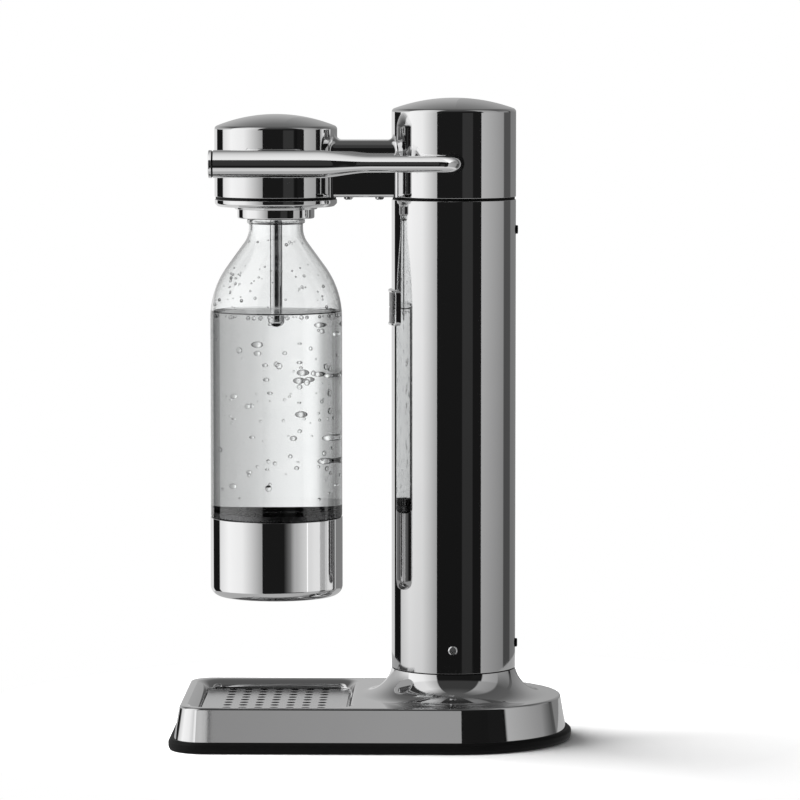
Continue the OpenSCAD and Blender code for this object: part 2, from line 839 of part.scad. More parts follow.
module arm_cover() {
  w = arm_w - 2 * (house_wall + seat_gap);
  color("silver")
    difference() {
      translate([head_x, -w / 2, house_z])
        cube([reach, w, arm_cover_t]);
      translate([head_x, 0, house_z - over])
        cylinder(r = head_r - house_wall, h = arm_cover_t + 2 * over);
      translate([col_x, 0, house_z - over])
        cylinder(r = col_r, h = arm_cover_t + 2 * over);
      for (p = arm_screw_at)
        translate([p[0], p[1], house_z - over])
          cylinder(r = hole_r, h = arm_cover_t + 2 * over);
    }
}

module arm_screws() {
  color("gray")
    for (p = arm_screw_at)
      translate([p[0], p[1], house_z + arm_screw_len])
        mirror([0, 0, 1])
          screw(arm_screw_len);
}

module head_gasket() {
  color("black")
    ring(head_x, head_r - 2 * cover_wall, head_r - seam_inset, cover_top, house_z);
}

module head_cover() {
  r = head_r - move_gap / 2;
  hole = collar_r + seat_gap;
  lip = 1.4;
  round_z = cover_top - cover_round - 0.5;
  slope_a = 18;
  color("silver")
    translate([head_x, 0, 0])
      rotate_extrude()
        polygon(concat(
          [[hole, cover_z], [hole + lip / 3, cover_z], [hole + lip, cover_z + lip]],
          arc(r - cover_round, round_z, cover_round, slope_a - 90, 0, 6),
          [[r, cover_top], [r - cover_wall, cover_top], [r - cover_wall, cover_top - cover_wall],
           [r - 2 * cover_wall, cover_floor], [hole, cover_floor]]));
}

module bottle_collar() {
  round = 1;
  color("silver")
    translate([head_x, 0, 0])
      rotate_extrude()
        polygon(concat(
          [[bore_r, collar_z + round], [bore_r + round, collar_z]],
          arc(collar_r - round, collar_z + round, round, 270, 360, 4),
          [[collar_r, cover_floor], [flange_d / 2, cover_floor], [flange_d / 2, cover_floor + flange_t],
           [block_r, cover_floor + flange_t], [block_r, collar_top], [bore_r, collar_top]]));
}

module bottle_seal() {
  color("#2a2a2a")
    ring(head_x, nozzle_d, bore_r - seat_gap, collar_top - bottle_seal_t, collar_top);
}

module nozzle_block() {
  color("#303030")
    difference() {
      union() {
        translate([head_x, 0, collar_top])
          cylinder(r = block_r, h = block_h);
        translate([head_x, 0, inlet_z])
          rotate([0, 90, 0])
            cylinder(r = outlet_r, h = inlet_x - head_x);
      }
      translate([head_x, 0, collar_top - over])
        cylinder(r = nozzle_d / 2 + seat_gap, h = nozzle_socket + over);
      translate([head_x, 0, inlet_z])
        rotate([0, 90, 0])
          cylinder(d = tube_bore, h = inlet_x - head_x + over);
      for (a = head_screw_a)
        translate([head_x + head_screw_out * cos(a), head_screw_out * sin(a), block_top - head_screw_depth])
          cylinder(r = hole_r, h = head_screw_depth + over);
      translate([head_x, relief_y, block_top - relief_depth])
        cylinder(r = relief_r + seat_gap, h = relief_depth + over);
    }
}

module nozzle_tube() {
  color("gainsboro")
    ring(head_x, nozzle_d / 2 - nozzle_wall, nozzle_d / 2, nozzle_end, collar_top + nozzle_socket - seat_gap);
}

module nozzle_tip() {
  r = nozzle_d / 2;
  spigot = 6;
  spigot_r = r - nozzle_wall - seat_gap;
  color("#202020")
    translate([head_x, 0, nozzle_end])
      rotate_extrude()
        polygon([[0.6, -tip_len], [r * 0.6, -tip_len], [r, -tip_len / 2], [r, 0],
                 [spigot_r, 0], [spigot_r, spigot], [0.6, spigot]]);
}

module head_plate() {
  color("gray")
    difference() {
      translate([head_x, 0, block_top])
        cylinder(r = head_r - house_wall - seat_gap, h = head_plate_t);
      for (a = head_screw_a)
        translate([head_x + head_screw_out * cos(a), head_screw_out * sin(a), block_top - over])
          cylinder(r = hole_r, h = head_plate_t + 2 * over);
      translate([head_x, relief_y, block_top - over])
        cylinder(r = relief_r + seat_gap, h = head_plate_t + 2 * over);
    }
}

module head_screws() {
  len = head_plate_t + head_screw_depth;
  color("gray")
    for (a = head_screw_a)
      translate([head_x + head_screw_out * cos(a), head_screw_out * sin(a), plate_head_z - len])
        screw(len);
}

module relief_valve() {
  hex_h = 4;
  color("goldenrod")
    translate([head_x, relief_y, block_top - relief_depth]) {
      cylinder(r = relief_r, h = relief_depth + head_plate_t);
      translate([0, 0, relief_depth + head_plate_t])
        cylinder(r = relief_r + 1.6, h = hex_h, $fn = 6);
      translate([0, 0, relief_depth + head_plate_t + hex_h])
        cylinder(r1 = relief_r, r2 = relief_r - 1.5, h = relief_depth);
    }
}

// The gas tube's line: [x, z, slope] from the valve's outlet, up an S bend, to the nozzle block
tube_half = tube_bend_r * sin(tube_turn);
tube_steps = 5;
tube_line = concat(
  [[outlet_x, outlet_z, 0]],
  [for (i = [0:tube_steps]) let (a = tube_turn * i / tube_steps)
    [tube_mid_x + tube_half - tube_bend_r * sin(a), outlet_z + tube_bend_r * (1 - cos(a)), a]],
  [for (i = [tube_steps - 1:-1:0]) let (a = tube_turn * i / tube_steps)
    [tube_mid_x - tube_half + tube_bend_r * sin(a), inlet_z - tube_bend_r * (1 - cos(a)), a]],
  [[inlet_x, inlet_z, 0]]);

// Each ring of the tube holds its outer points and then its inner points
module gas_tube() {
  sides = 12;
  ring = 2 * sides;
  last = (len(tube_line) - 1) * ring;
  points = [for (p = tube_line, d = [tube_d, tube_bore], k = [0:sides - 1])
    let (b = 360 / sides * k, out = cos(b) * d / 2)
    [p[0] + out * sin(p[2]), sin(b) * d / 2, p[1] + out * cos(p[2])]];
  skin = [for (i = [0:len(tube_line) - 2], k = [0:sides - 1])
    [i * ring + k, i * ring + (k + 1) % sides, (i + 1) * ring + (k + 1) % sides, (i + 1) * ring + k]];
  mouth = [for (k = [0:sides - 1])
    [k, sides + k, sides + (k + 1) % sides, (k + 1) % sides]];
  quads = concat(
    skin,
    [for (q = skin) [for (i = [3:-1:0]) q[i] + sides]],
    mouth,
    [for (q = mouth) [for (i = [3:-1:0]) q[i] + last]]);
  color("whitesmoke")
    polyhedron(points, [for (q = quads, t = [[q[0], q[1], q[2]], [q[0], q[2], q[3]]]) t]);
}

module tube_nuts() {
  color("goldenrod")
    for (end = [[outlet_x - nut_len, outlet_z], [inlet_x, inlet_z]])
      translate([end[0], 0, end[1]])
        rotate([0, 90, 0])
          difference() {
            cylinder(r = nut_r, h = nut_len, $fn = 6);
            translate([0, 0, -over])
              cylinder(r = tube_d / 2 + seat_gap, h = nut_len + 2 * over, $fn = 48);
          }
}

// Places of the three screws that hold the valve
module at_bracket_screws() {
  for (a = [0, 120, 240])
    translate([col_x + bracket_screw_out * cos(a), bracket_screw_out * sin(a), 0])
      children();
}

module valve_carrier() {
  slot_w = 2 * nut_r + 3;
  color("gray")
    difference() {
      union() {
        ring(col_x, carrier_r - carrier_t, carrier_r, carrier_low, carrier_high);
        ring(col_x, socket_out_r + seat_gap, carrier_r - carrier_t / 2, web_z, bracket_z);
      }
      translate([col_x - col_r - over, -slot_w / 2, house_z - over])
        cube([col_r, slot_w, carrier_high]);
      at_bracket_screws()
        translate([0, 0, web_z - over])
          cylinder(r = hole_r, h = web_t + 2 * over);
    }
}

module shaft_bracket() {
  color("darkgray")
    difference() {
      union() {
        translate([col_x, 0, bracket_z])
          cylinder(r = ear_y + ear_t + 2, h = bracket_t);
        for (s = [-1, 1])
          translate([col_x, s * (ear_y + ear_t / 2), 0])
            rotate([90, 0, 0])
              linear_extrude(ear_t, center = true) {
                translate([-ear_w / 2, bracket_z])
                  square([ear_w, shaft_z - bracket_z]);
                translate([0, shaft_z])
                  circle(d = ear_w);
              }
      }
      translate([col_x, 0, bracket_z - over])
        cylinder(r = socket_out_r + seat_gap, h = bracket_t + 2 * over);
      translate([col_x, 0, shaft_z])
        rotate([90, 0, 0])
          cylinder(r = rod_r + run_gap, h = col_d, center = true);
      at_bracket_screws()
        translate([0, 0, bracket_z - over])
          cylinder(r = hole_r, h = bracket_t + 2 * over);
    }
}

module bracket_screws() {
  len = valve_flange_top - web_z;
  color("dimgray")
    at_bracket_screws()
      translate([0, 0, web_z])
        screw(len);
}

module valve_body() {
  color("goldenrod")
    difference() {
      union() {
        translate([col_x, 0, socket_z])
          cylinder(r = socket_out_r, h = valve_flange_top - socket_z);
        translate([col_x, 0, valve_flange_z])
          cylinder(r = valve_flange_r, h = valve_flange_t);
        translate([col_x, 0, valve_flange_z])
          cylinder(r = valve_r, h = valve_top - valve_flange_z);
        translate([outlet_x, 0, outlet_z])
          rotate([0, 90, 0])
            cylinder(r = outlet_r, h = col_x - outlet_x);
      }
      translate([col_x, 0, socket_z - over])
        cylinder(r = socket_r, h = valve_seat - socket_z + over);
      translate([col_x, 0, socket_z])
        cylinder(r = stem_r + run_gap, h = valve_top - socket_z + over);
      translate([outlet_x - over, 0, outlet_z])
        rotate([0, 90, 0])
          cylinder(d = tube_bore, h = col_x - outlet_x);
      at_bracket_screws()
        translate([0, 0, valve_flange_z - over])
          cylinder(r = hole_r, h = valve_flange_t + 2 * over);
    }
}

module valve_seal() {
  color("#2a2a2a")
    ring(col_x, stem_r + 1.5, socket_r - seat_gap, valve_seat - valve_seal_t, valve_seat);
}

module lever_bush() {
  proud = 0.4;
  color("dimgray")
    translate([col_x, -col_r - proud, shaft_z])
      rotate([-90, 0, 0])
        difference() {
          cylinder(r = rod_r + bush_t, h = bush_len);
          translate([0, 0, -over])
            cylinder(r = rod_r + run_gap, h = bush_len + 2 * over);
        }
}

module lever() {
  bend_x = col_x - bend_r;
  bend_y = bend_r - lever_side;
  end_x = col_x - lever_reach + end_cap_t;
  taper_x = end_x + handle_len;
  color("silver")
    difference() {
      union() {
        translate([0, -lever_side, shaft_z])
          rotate([0, 90, 0])
            rotate_extrude()
              polygon(concat(
                [[0, end_x]],
                [[handle_r, end_x]],
                [for (i = [0:12]) let (t = i / 12)
                   [rod_r + (handle_r - rod_r) * (1 + cos(180 * t)) / 2, taper_x + taper_len * t]],
                [[rod_r, bend_x], [0, bend_x]]));
        translate([bend_x, bend_y, shaft_z])
          rotate([0, 0, -90])
            rotate_extrude(angle = 90)
              translate([bend_r, 0])
                circle(rod_r);
        translate([col_x, bend_y, shaft_z])
          rotate([-90, 0, 0])
            cylinder(r = rod_r, h = shaft_end - bend_y);
      }
      translate([end_x - over, -lever_side, shaft_z])
        rotate([0, 90, 0])
          cylinder(r = rod_r, h = cap_spigot + over + seat_gap);
      translate([col_x - col_r, 0, shaft_z])
        rotate([0, 90, 0])
          cylinder(r = cam_pin_r + seat_gap, h = col_d);
      translate([col_x, clip_y, shaft_z])
        rotate([-90, 0, 0])
          ring(0, clip_r, col_r, 0, clip_t + seat_gap);
    }
}

module lever_end_cap() {
  groove = 0.5;
  color("silver")
    translate([col_x - lever_reach, -lever_side, shaft_z])
      rotate([0, 90, 0])
        rotate_extrude()
          polygon(concat(
            [[0, 0]],
            arc(handle_r - groove, groove, groove, 270, 360, 3),
            [[handle_r, end_cap_t - groove], [handle_r - groove, end_cap_t - groove],
             [handle_r - groove, end_cap_t], [rod_r - seat_gap, end_cap_t],
             [rod_r - seat_gap, end_cap_t + cap_spigot], [0, end_cap_t + cap_spigot]]));
}

// Point of the cam that touches the button when the lever has turned by a
function cam_point(a) =
  let (h = cam_low + cam_rate * a * PI / 180)
  [-h * sin(a) - cam_rate * cos(a), -h * cos(a) + cam_rate * sin(a)];

module lever_cam() {
  steps = 8;
  color("darkgray")
    translate([col_x, 0, shaft_z])
      rotate([90, 0, 0])
        difference() {
          union() {
            cylinder(r = cam_hub_r, h = cam_w, center = true);
            linear_extrude(cam_w, center = true)
              polygon(concat([[0, 0]], [for (i = [0:steps]) cam_point(lever_turn * i / steps)]));
          }
          cylinder(r = rod_r + seat_gap / 2, h = cam_w + over, center = true);
          rotate([0, 90, 0])
            cylinder(r = cam_pin_r + seat_gap, h = col_d, center = true);
        }
}

module cam_pin() {
  color("dimgray")
    translate([col_x, 0, shaft_z])
      rotate([0, 90, 0])
        cylinder(r = cam_pin_r, h = 2 * cam_hub_r, center = true);
}

module shaft_clip() {
  color("dimgray")
    translate([col_x, clip_y, shaft_z])
      rotate([-90, 0, 0])
        difference() {
          ring(0, clip_r + seat_gap, rod_r + 2, seat_gap / 2, clip_t);
          translate([-clip_r, -col_r, -over])
            cube([2 * clip_r, col_r, clip_t + 2 * over]);
        }
}

module valve_plunger() {
  edge = 0.4;
  foot = pin_top + move_gap;
  color("gainsboro")
    translate([col_x, 0, 0])
      rotate_extrude()
        polygon([[0, foot], [stem_r - edge, foot], [stem_r, foot + edge],
                 [stem_r, button_z], [button_r, button_z], [button_r, button_top - edge],
                 [button_r - edge, button_top], [0, button_top]]);
}

// Centre line of the plunger's spring
spring_rings = 8 * spring_turns;
spring_rise = spring_len - spring_wire - 2 * seat_gap;
spring_low = valve_top + seat_gap + spring_wire / 2;
spring_line = [for (i = [0:spring_rings]) let (a = 45 * i)
  [spring_r * cos(a), spring_r * sin(a), spring_low + spring_rise * i / spring_rings]];
spring_self_gap = min([for (i = [0:spring_rings - 8], j = [i + 6:min(i + 10, spring_rings)])
  norm(spring_line[i] - spring_line[j]) - spring_wire]);
echo(plunger_spring_least_gap_mm = spring_self_gap);

module plunger_spring() {
  sides = 6;
  points = [for (i = [0:spring_rings], k = [0:sides - 1])
    let (a = 45 * i, b = 360 / sides * k, out = cos(b) * spring_wire / 2)
    spring_line[i] + [out * cos(a), out * sin(a), sin(b) * spring_wire / 2]];
  last = spring_rings * sides;
  faces = concat(
    [for (k = [1:sides - 2]) [0, k, k + 1]],
    [for (k = [1:sides - 2]) [last, last + k + 1, last + k]],
    [for (i = [0:spring_rings - 1], k = [0:sides - 1])
      [i * sides + k, (i + 1) * sides + k, i * sides + (k + 1) % sides]],
    [for (i = [0:spring_rings - 1], k = [0:sides - 1])
      [(i + 1) * sides + k, (i + 1) * sides + (k + 1) % sides, i * sides + (k + 1) % sides]]);
  color("lightgray")
    translate([col_x, 0, 0])
      polyhedron(points, faces);
}

// Outline of the gas cylinder's side, set in by t, from the foot's middle up to a neck of the given radius
function cyl_side(t, neck, top) =
  let (r = cyl_shoulder_r)
  concat(
    [[0, cyl_lift + t]],
    arc(cyl_r - cyl_foot_r, cyl_lift + cyl_foot_r, cyl_foot_r - t, 270, 360, 5),
    arc(cyl_r - r, cyl_shoulder_z, r - t, 0, acos((neck - cyl_r + r) / (r - t)), 8),
    [[neck, top], [0, top]]);

module gas_cylinder() {
  color("gray")
    translate([col_x, 0, 0])
      difference() {
        rotate_extrude()
          polygon(cyl_side(0, cyl_neck_r, cyl_neck_z));
        rotate_extrude()
          polygon(cyl_side(cyl_wall, cyl_stem_r + seat_gap, cyl_neck_z + over));
      }
}

module cylinder_valve() {
  color("goldenrod")
    translate([col_x, 0, 0])
      difference() {
        union() {
          translate([0, 0, cyl_neck_z - cyl_stem_len])
            cylinder(r = cyl_stem_r, h = cyl_stem_len);
          translate([0, 0, cyl_neck_z])
            cylinder(r = cyl_collar_r, h = cyl_collar_h);
          translate([0, 0, cyl_neck_z])
            cylinder(d = spigot_d, h = spigot_top - cyl_neck_z);
        }
        translate([0, 0, cyl_neck_z])
          cylinder(r = pin_d / 2 + run_gap, h = spigot_top);
      }
}

module cylinder_pin() {
  color("gainsboro")
    translate([col_x, 0, cyl_neck_z + plunge + move_gap])
      cylinder(d = pin_d, h = pin_top - cyl_neck_z - plunge - move_gap);
}

// Outline of the bottle's side, set in by t, from the middle of its foot to its mouth
function bottle_side(t) =
  concat(
    arc(0, foot_z + punt_h - punt_r, punt_r + t, 90, acos(punt_w / (punt_r + t)), 6),
    arc(foot_r - foot_edge_r, foot_z + foot_edge_r, foot_edge_r - t, foot_a, 360, 5),
    [[foot_r - t, step_z], [bottle_r - t, step_z + bottle_r - foot_r]],
    arc(shoulder_x, shoulder_z, shoulder_r - t, 0, shoulder_a, 10),
    arc(neck_x, neck_z, neck_fillet + t, 180 + shoulder_a, 180, 5));

module bottle() {
  round = 0.8;
  color("aliceblue", 0.4)
    translate([head_x, 0, 0])
      rotate_extrude()
        polygon(concat(
          bottle_side(0),
          [[neck_r, neck_ring_z]],
          arc(neck_ring_r - round, neck_ring_z + round, round, 270, 360, 3),
          arc(neck_ring_r - round, neck_ring_z + neck_ring_h - round, round, 0, 90, 3),
          [[neck_r, neck_ring_z + neck_ring_h], [neck_r, mouth_z], [neck_r - bottle_wall, mouth_z]],
          reversed(bottle_side(bottle_wall))));
}

module bottle_cup() {
  color("silver")
    translate([head_x, 0, 0])
      rotate_extrude()
        polygon(concat(
          [[0, cup_z]],
          arc(cup_r - cup_edge_r, cup_z + cup_edge_r, cup_edge_r, 270, 360, 6),
          [[cup_r, cup_z + cup_h], [cup_r - cup_t, cup_z + cup_h]],
          arc(cup_r - cup_edge_r, cup_z + cup_edge_r, cup_edge_r - cup_t, 360, 270, 6),
          [[0, cup_z + cup_t]]));
}

base_shell();
rubber_rim();
base_plate();
base_screws();
drip_grid();
column_sleeve();
lower_gasket();
column_tube();
column_screws();
rear_bumpers();
badge_plate();
upper_gasket();
upper_housing();
arm_cover();
arm_screws();
head_gasket();
head_cover();
bottle_collar();
bottle_seal();
nozzle_block();
nozzle_tube();
nozzle_tip();
head_plate();
head_screws();
relief_valve();
gas_tube();
tube_nuts();
valve_carrier();
shaft_bracket();
bracket_screws();
valve_body();
valve_seal();
lever_bush();
lever();
lever_end_cap();
lever_cam();
cam_pin();
shaft_clip();
valve_plunger();
plunger_spring();
gas_cylinder();
cylinder_valve();
cylinder_pin();
bottle();
bottle_cup();
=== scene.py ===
# %% [markdown]
# # A polished sparkling water maker
#
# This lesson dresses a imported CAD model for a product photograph. The CAD parts give the exact
# places and sizes. Here the polished shells are rebuilt as smooth meshes, because a mirror shows
# every flat facet, and then they get steel, rubber, clear plastic and water.
#
# Sizes of the machine are in millimetres, as on the drawing, and one helper turns them into
# metres. The studio round it is in metres.

# %% Load the CAD frame
import json
import math
import random

import bpy
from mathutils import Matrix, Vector
from mathutils.geometry import delaunay_2d_cdt


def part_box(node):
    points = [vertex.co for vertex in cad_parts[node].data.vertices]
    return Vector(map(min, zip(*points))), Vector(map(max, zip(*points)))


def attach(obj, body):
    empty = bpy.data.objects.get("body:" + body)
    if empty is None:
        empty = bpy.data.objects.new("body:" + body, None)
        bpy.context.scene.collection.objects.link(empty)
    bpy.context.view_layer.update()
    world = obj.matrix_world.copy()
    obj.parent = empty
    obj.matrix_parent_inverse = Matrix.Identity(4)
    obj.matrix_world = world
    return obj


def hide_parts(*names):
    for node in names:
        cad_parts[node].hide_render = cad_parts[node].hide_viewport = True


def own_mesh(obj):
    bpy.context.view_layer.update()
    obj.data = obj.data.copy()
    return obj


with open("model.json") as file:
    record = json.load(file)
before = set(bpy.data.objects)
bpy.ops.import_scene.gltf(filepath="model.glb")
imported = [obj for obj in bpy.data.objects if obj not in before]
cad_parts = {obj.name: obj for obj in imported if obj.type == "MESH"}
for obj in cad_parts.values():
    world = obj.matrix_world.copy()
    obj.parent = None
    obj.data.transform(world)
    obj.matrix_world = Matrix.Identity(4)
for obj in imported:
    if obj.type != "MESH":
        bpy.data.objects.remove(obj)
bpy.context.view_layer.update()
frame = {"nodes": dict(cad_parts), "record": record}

# %% [markdown]
# ## Measures taken from the CAD boxes
#
# Reading the main places from it keeps the smooth meshes on the CAD parts, also when a CAD
# size changes later.

# %% Main places of the machine
MM = 0.001


def cad_box(node):
    low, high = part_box(node)
    return low / MM, high / MM


rim_low, rim_high = cad_box("rubber_rim")
tube_low, tube_high = cad_box("column_tube")
house_low, house_high = cad_box("upper_housing")
cover_low, cover_high = cad_box("head_cover")
cup_low, cup_high = cad_box("bottle_cup")
lever_low, lever_high = cad_box("lever")

HALF_W = rim_high.y
FRONT_X = rim_low.x
COL_X = (tube_low.x + tube_high.x) / 2
COL_R = (tube_high.x - tube_low.x) / 2
HEAD_X = (cover_low.x + cover_high.x) / 2
HEAD_R = HEAD_X - house_low.x
HOUSE_Z = house_low.z
print("column axis", round(COL_X, 2), "bottle axis", round(HEAD_X, 2))
print("housing foot", round(HOUSE_Z, 2))

# %% [markdown]
# ## Small tools for smooth shapes
#
# Three kinds of shape make up most of the machine. A *lathe* turns an outline about an upright
# axis. A *sweep* joins a row of loops, like the hoops of a barrel. A *rounded line* replaces the
# corners of an outline with small arcs, because real edges are never razor sharp and the small
# arcs catch the light.

# %% Rounded lines
def rounded(points, closed=False, steps=6):
    """Outline in which each point (a, b, r) becomes an arc of radius r."""
    line = []
    for i, point in enumerate(points):
        here = Vector(point[:2])
        radius = point[2] if len(point) > 2 else 0
        if not radius or (not closed and i in (0, len(points) - 1)):
            line.append(here)
            continue
        back = (Vector(points[i - 1][:2]) - here).normalized()
        ahead = (Vector(points[(i + 1) % len(points)][:2]) - here).normalized()
        half = back.angle(ahead) / 2
        centre = here + (back + ahead).normalized() * (radius / math.sin(half))
        start = here + back * (radius / math.tan(half)) - centre
        end = here + ahead * (radius / math.tan(half)) - centre
        turn = math.atan2(start.x * end.y - start.y * end.x, start.dot(end))
        first = math.atan2(start.y, start.x)
        for k in range(steps + 1):
            a = first + turn * k / steps
            line.append(centre + radius * Vector((math.cos(a), math.sin(a))))
    return [(p.x, p.y) for p in line]


def arc(x, y, r, a0, a1, n=12):
    """Points on an arc, angles in degrees."""
    turns = [math.radians(a0 + (a1 - a0) * i / n) for i in range(n + 1)]
    return [(x + r * math.cos(a), y + r * math.sin(a)) for a in turns]


def full_turn(steps):
    """Angles all the way round, in radians."""
    return [2 * math.pi * k / steps for k in range(steps)]


# %% Lathes and sweeps
LATHE_STEPS, FINE_STEPS = 192, 256


def sweep(loops, closed=False):
    """Faces between loops that all have the same number of points."""
    size = len(loops[0])
    verts = [p for loop in loops for p in loop]
    faces = []
    for i in range(len(loops) if closed else len(loops) - 1):
        j = (i + 1) % len(loops)
        for k in range(size):
            n = (k + 1) % size
            faces.append((i * size + k, i * size + n, j * size + n, j * size + k))
    return verts, faces


def lathe(line, x, closed=False, steps=LATHE_STEPS):
    """Turns an outline of (radius, height) about the upright axis at x."""
    turns = full_turn(steps)
    loops = [[(x + r * math.cos(a), r * math.sin(a), z) for a in turns] for r, z in line]
    return sweep(loops, closed)


def merged(*shapes):
    """Several (verts, faces) shapes as one."""
    verts, faces = [], []
    for v, f in shapes:
        start = len(verts)
        verts += v
        faces += [tuple(i + start for i in face) for face in f]
    return verts, faces


# %% [markdown]
# ## From shape to piece
#
# Each new piece *rides* on a CAD body, so it moves with that body's joint. It also *replaces* the
# CAD node that it stands for. Doubled points are welded, and edges sharper than 40 degrees stay
# crisp while everything else is shaded smooth.
#
# Smooth shading bends the surface's direction from point to point. Next to a tiny rounded edge
# that would bend a long flat wall too, and a mirror shows it at once. A *weighted normal* modifier
# lets the large faces decide, so flat walls stay flat.

# %% Make a piece
WELD_M, SHARP_DEG = 2e-6, 40


def piece(name, shape, body, material, slot, *stands_for):
    verts, faces = shape
    mesh = bpy.data.meshes.new(name)
    mesh.from_pydata([Vector(v) * MM for v in verts], [], faces)
    mesh.validate()
    obj = bpy.data.objects.new(name, mesh)
    bpy.context.scene.collection.objects.link(obj)
    weld = obj.modifiers.new("weld", "WELD")
    weld.merge_threshold = WELD_M
    bpy.context.view_layer.update()
    graph = bpy.context.evaluated_depsgraph_get()
    clean = bpy.data.meshes.new_from_object(obj.evaluated_get(graph))
    obj.modifiers.clear()
    obj.data = clean
    bpy.data.meshes.remove(mesh)
    clean.name = name
    clean.shade_smooth()
    clean.set_sharp_from_angle(angle=math.radians(SHARP_DEG))
    clean.materials.clear()
    clean.materials.append(material)
    even = obj.modifiers.new("even shading", "WEIGHTED_NORMAL")
    even.mode = "FACE_AREA"
    even.weight = 100
    even.keep_sharp = True
    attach(obj, body)
    if stands_for:
        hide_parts(*stands_for)
    return obj


# %% [markdown]
# ## Materials
#
# Every material is procedural: a noise texture in object space gently changes its colour or its
# roughness, so that no surface is one flat value. The helper below builds a Principled material
# with such a noise on the base colour and on the roughness. A *map range* node stretches one span
# of numbers to another, and many of the materials use it.

# %% Stretch a span of numbers
def map_range(tree, source, low, high, to_low=0.0, to_high=1.0):
    node = tree.nodes.new("ShaderNodeMapRange")
    for socket, number in (("From Min", low), ("From Max", high),
                           ("To Min", to_low), ("To Max", to_high)):
        node.inputs[socket].default_value = number
    tree.links.new(source, node.inputs["Value"])
    return node.outputs[0]


# %% A material with gentle variation
RELIEF_M = 0.0002


def surface(name, dark, light, rough_low, rough_high, scale, metallic=0.0, bump=0.0):
    mat = bpy.data.materials.new(name)
    mat.use_nodes = True
    nodes, links = mat.node_tree.nodes, mat.node_tree.links
    shader = nodes["Principled BSDF"]
    place = nodes.new("ShaderNodeTexCoord")
    noise = nodes.new("ShaderNodeTexNoise")
    noise.inputs["Scale"].default_value = scale
    noise.inputs["Detail"].default_value = 4
    links.new(place.outputs["Object"], noise.inputs["Vector"])
    colour = nodes.new("ShaderNodeMix")
    colour.data_type = "RGBA"
    colour.inputs["A"].default_value = (*dark, 1)
    colour.inputs["B"].default_value = (*light, 1)
    links.new(noise.outputs["Fac"], colour.inputs["Factor"])
    links.new(colour.outputs["Result"], shader.inputs["Base Color"])
    rough = map_range(mat.node_tree, noise.outputs["Fac"], 0, 1, rough_low, rough_high)
    links.new(rough, shader.inputs["Roughness"])
    shader.inputs["Metallic"].default_value = metallic
    if bump:
        relief = nodes.new("ShaderNodeBump")
        relief.inputs["Strength"].default_value = bump
        relief.inputs["Distance"].default_value = RELIEF_M
        links.new(noise.outputs["Fac"], relief.inputs["Height"])
        links.new(relief.outputs["Normal"], shader.inputs["Normal"])
    return mat


def grey(level):
    return (level, level, level)


# %% Steel, rubber, plastic, brass and paint
MIRROR = ((0.76, 0.76, 0.765), grey(0.80), 0.025, 0.055, 30)
SATIN = ((0.78, 0.78, 0.79), grey(0.86), 0.14, 0.24, 220)
polished = surface("polished steel", *MIRROR, metallic=1)
column_steel = surface("column steel", *MIRROR, metallic=1)
satin = surface("satin steel", *SATIN, metallic=1)
grid_steel = surface("grid steel", *SATIN, metallic=1)
brushed = surface("brushed steel", (0.70, 0.70, 0.71), grey(0.80), 0.45, 0.55, 220, metallic=1)
badge = surface("badge steel", (0.10, 0.10, 0.105), grey(0.15), 0.22, 0.34, 260, metallic=1)
brass = surface("valve brass", (0.55, 0.38, 0.14), (0.66, 0.47, 0.20), 0.2, 0.34, 200, metallic=1)
rubber = surface("black rubber", grey(0.003), grey(0.006), 0.45, 0.60, 600, bump=0.15)
rubber.node_tree.nodes["Principled BSDF"].inputs["Specular IOR Level"].default_value = 0.12
black_plastic = surface("black plastic", (0.008, 0.008, 0.009), grey(0.016),
                        0.35, 0.5, 500, bump=0.1)
pale_plastic = surface("pale plastic", (0.66, 0.66, 0.65), (0.74, 0.74, 0.73), 0.3, 0.42, 300)
paint = surface("cylinder paint", (0.20, 0.21, 0.22), (0.26, 0.27, 0.28), 0.3, 0.42, 160)
print("materials:", len(bpy.data.materials))


def steel_piece(name, shape, body, *stands_for):
    """A piece in polished steel, which most of the machine is."""
    return piece(name, shape, body, polished, "polished_steel", *stands_for)


# %% [markdown]
# The column mirrors soft boxes that grow dimmer towards the floor. A gradient in its own steel
# stands in for that: its colour fades a little from top to bottom.

# %% Gradient in the column's steel
FADE_FROM_Z, FADE_TO_Z, FADE = 0.05, 0.36, 0.74
tree = column_steel.node_tree
height = tree.nodes.new("ShaderNodeSeparateXYZ")
tree.links.new(tree.nodes["Texture Coordinate"].outputs["Object"], height.inputs[0])
shade = map_range(tree, height.outputs["Z"], FADE_FROM_Z, FADE_TO_Z, FADE, 1.0)
faded = tree.nodes.new("ShaderNodeVectorMath")
faded.operation = "SCALE"
tree.links.new(tree.nodes["Mix"].outputs["Result"], faded.inputs[0])
tree.links.new(shade, faded.inputs["Scale"])
tree.links.new(faded.outputs[0], tree.nodes["Principled BSDF"].inputs["Base Color"])

# %% [markdown]
# Clear materials bend the light that passes. The bottle's plastic bends it by 1.57 and water by
# 1.33. A gas bubble in water is the other way round: light goes from dense to thin, so its index
# is 1 / 1.33.

# %% Clear materials
PLASTIC_INDEX, WATER_INDEX = 1.57, 1.333


def clear(name, index, rough_low, rough_high, tint_low, tint_high):
    mat = surface(name, tint_low, tint_high, rough_low, rough_high, 80)
    shader = mat.node_tree.nodes["Principled BSDF"]
    shader.inputs["Transmission Weight"].default_value = 1.0
    shader.inputs["IOR"].default_value = index
    return mat


clear_plastic = clear("clear plastic", PLASTIC_INDEX, 0.0, 0.01,
                      (0.95, 0.96, 0.96), (0.985, 0.99, 0.99))
water_look = clear("water", WATER_INDEX, 0.0, 0.002, (0.97, 0.975, 0.975), grey(1.0))
gas_look = clear("gas bubble", 1 / WATER_INDEX, 0.0, 0.002, grey(0.98), grey(1.0))

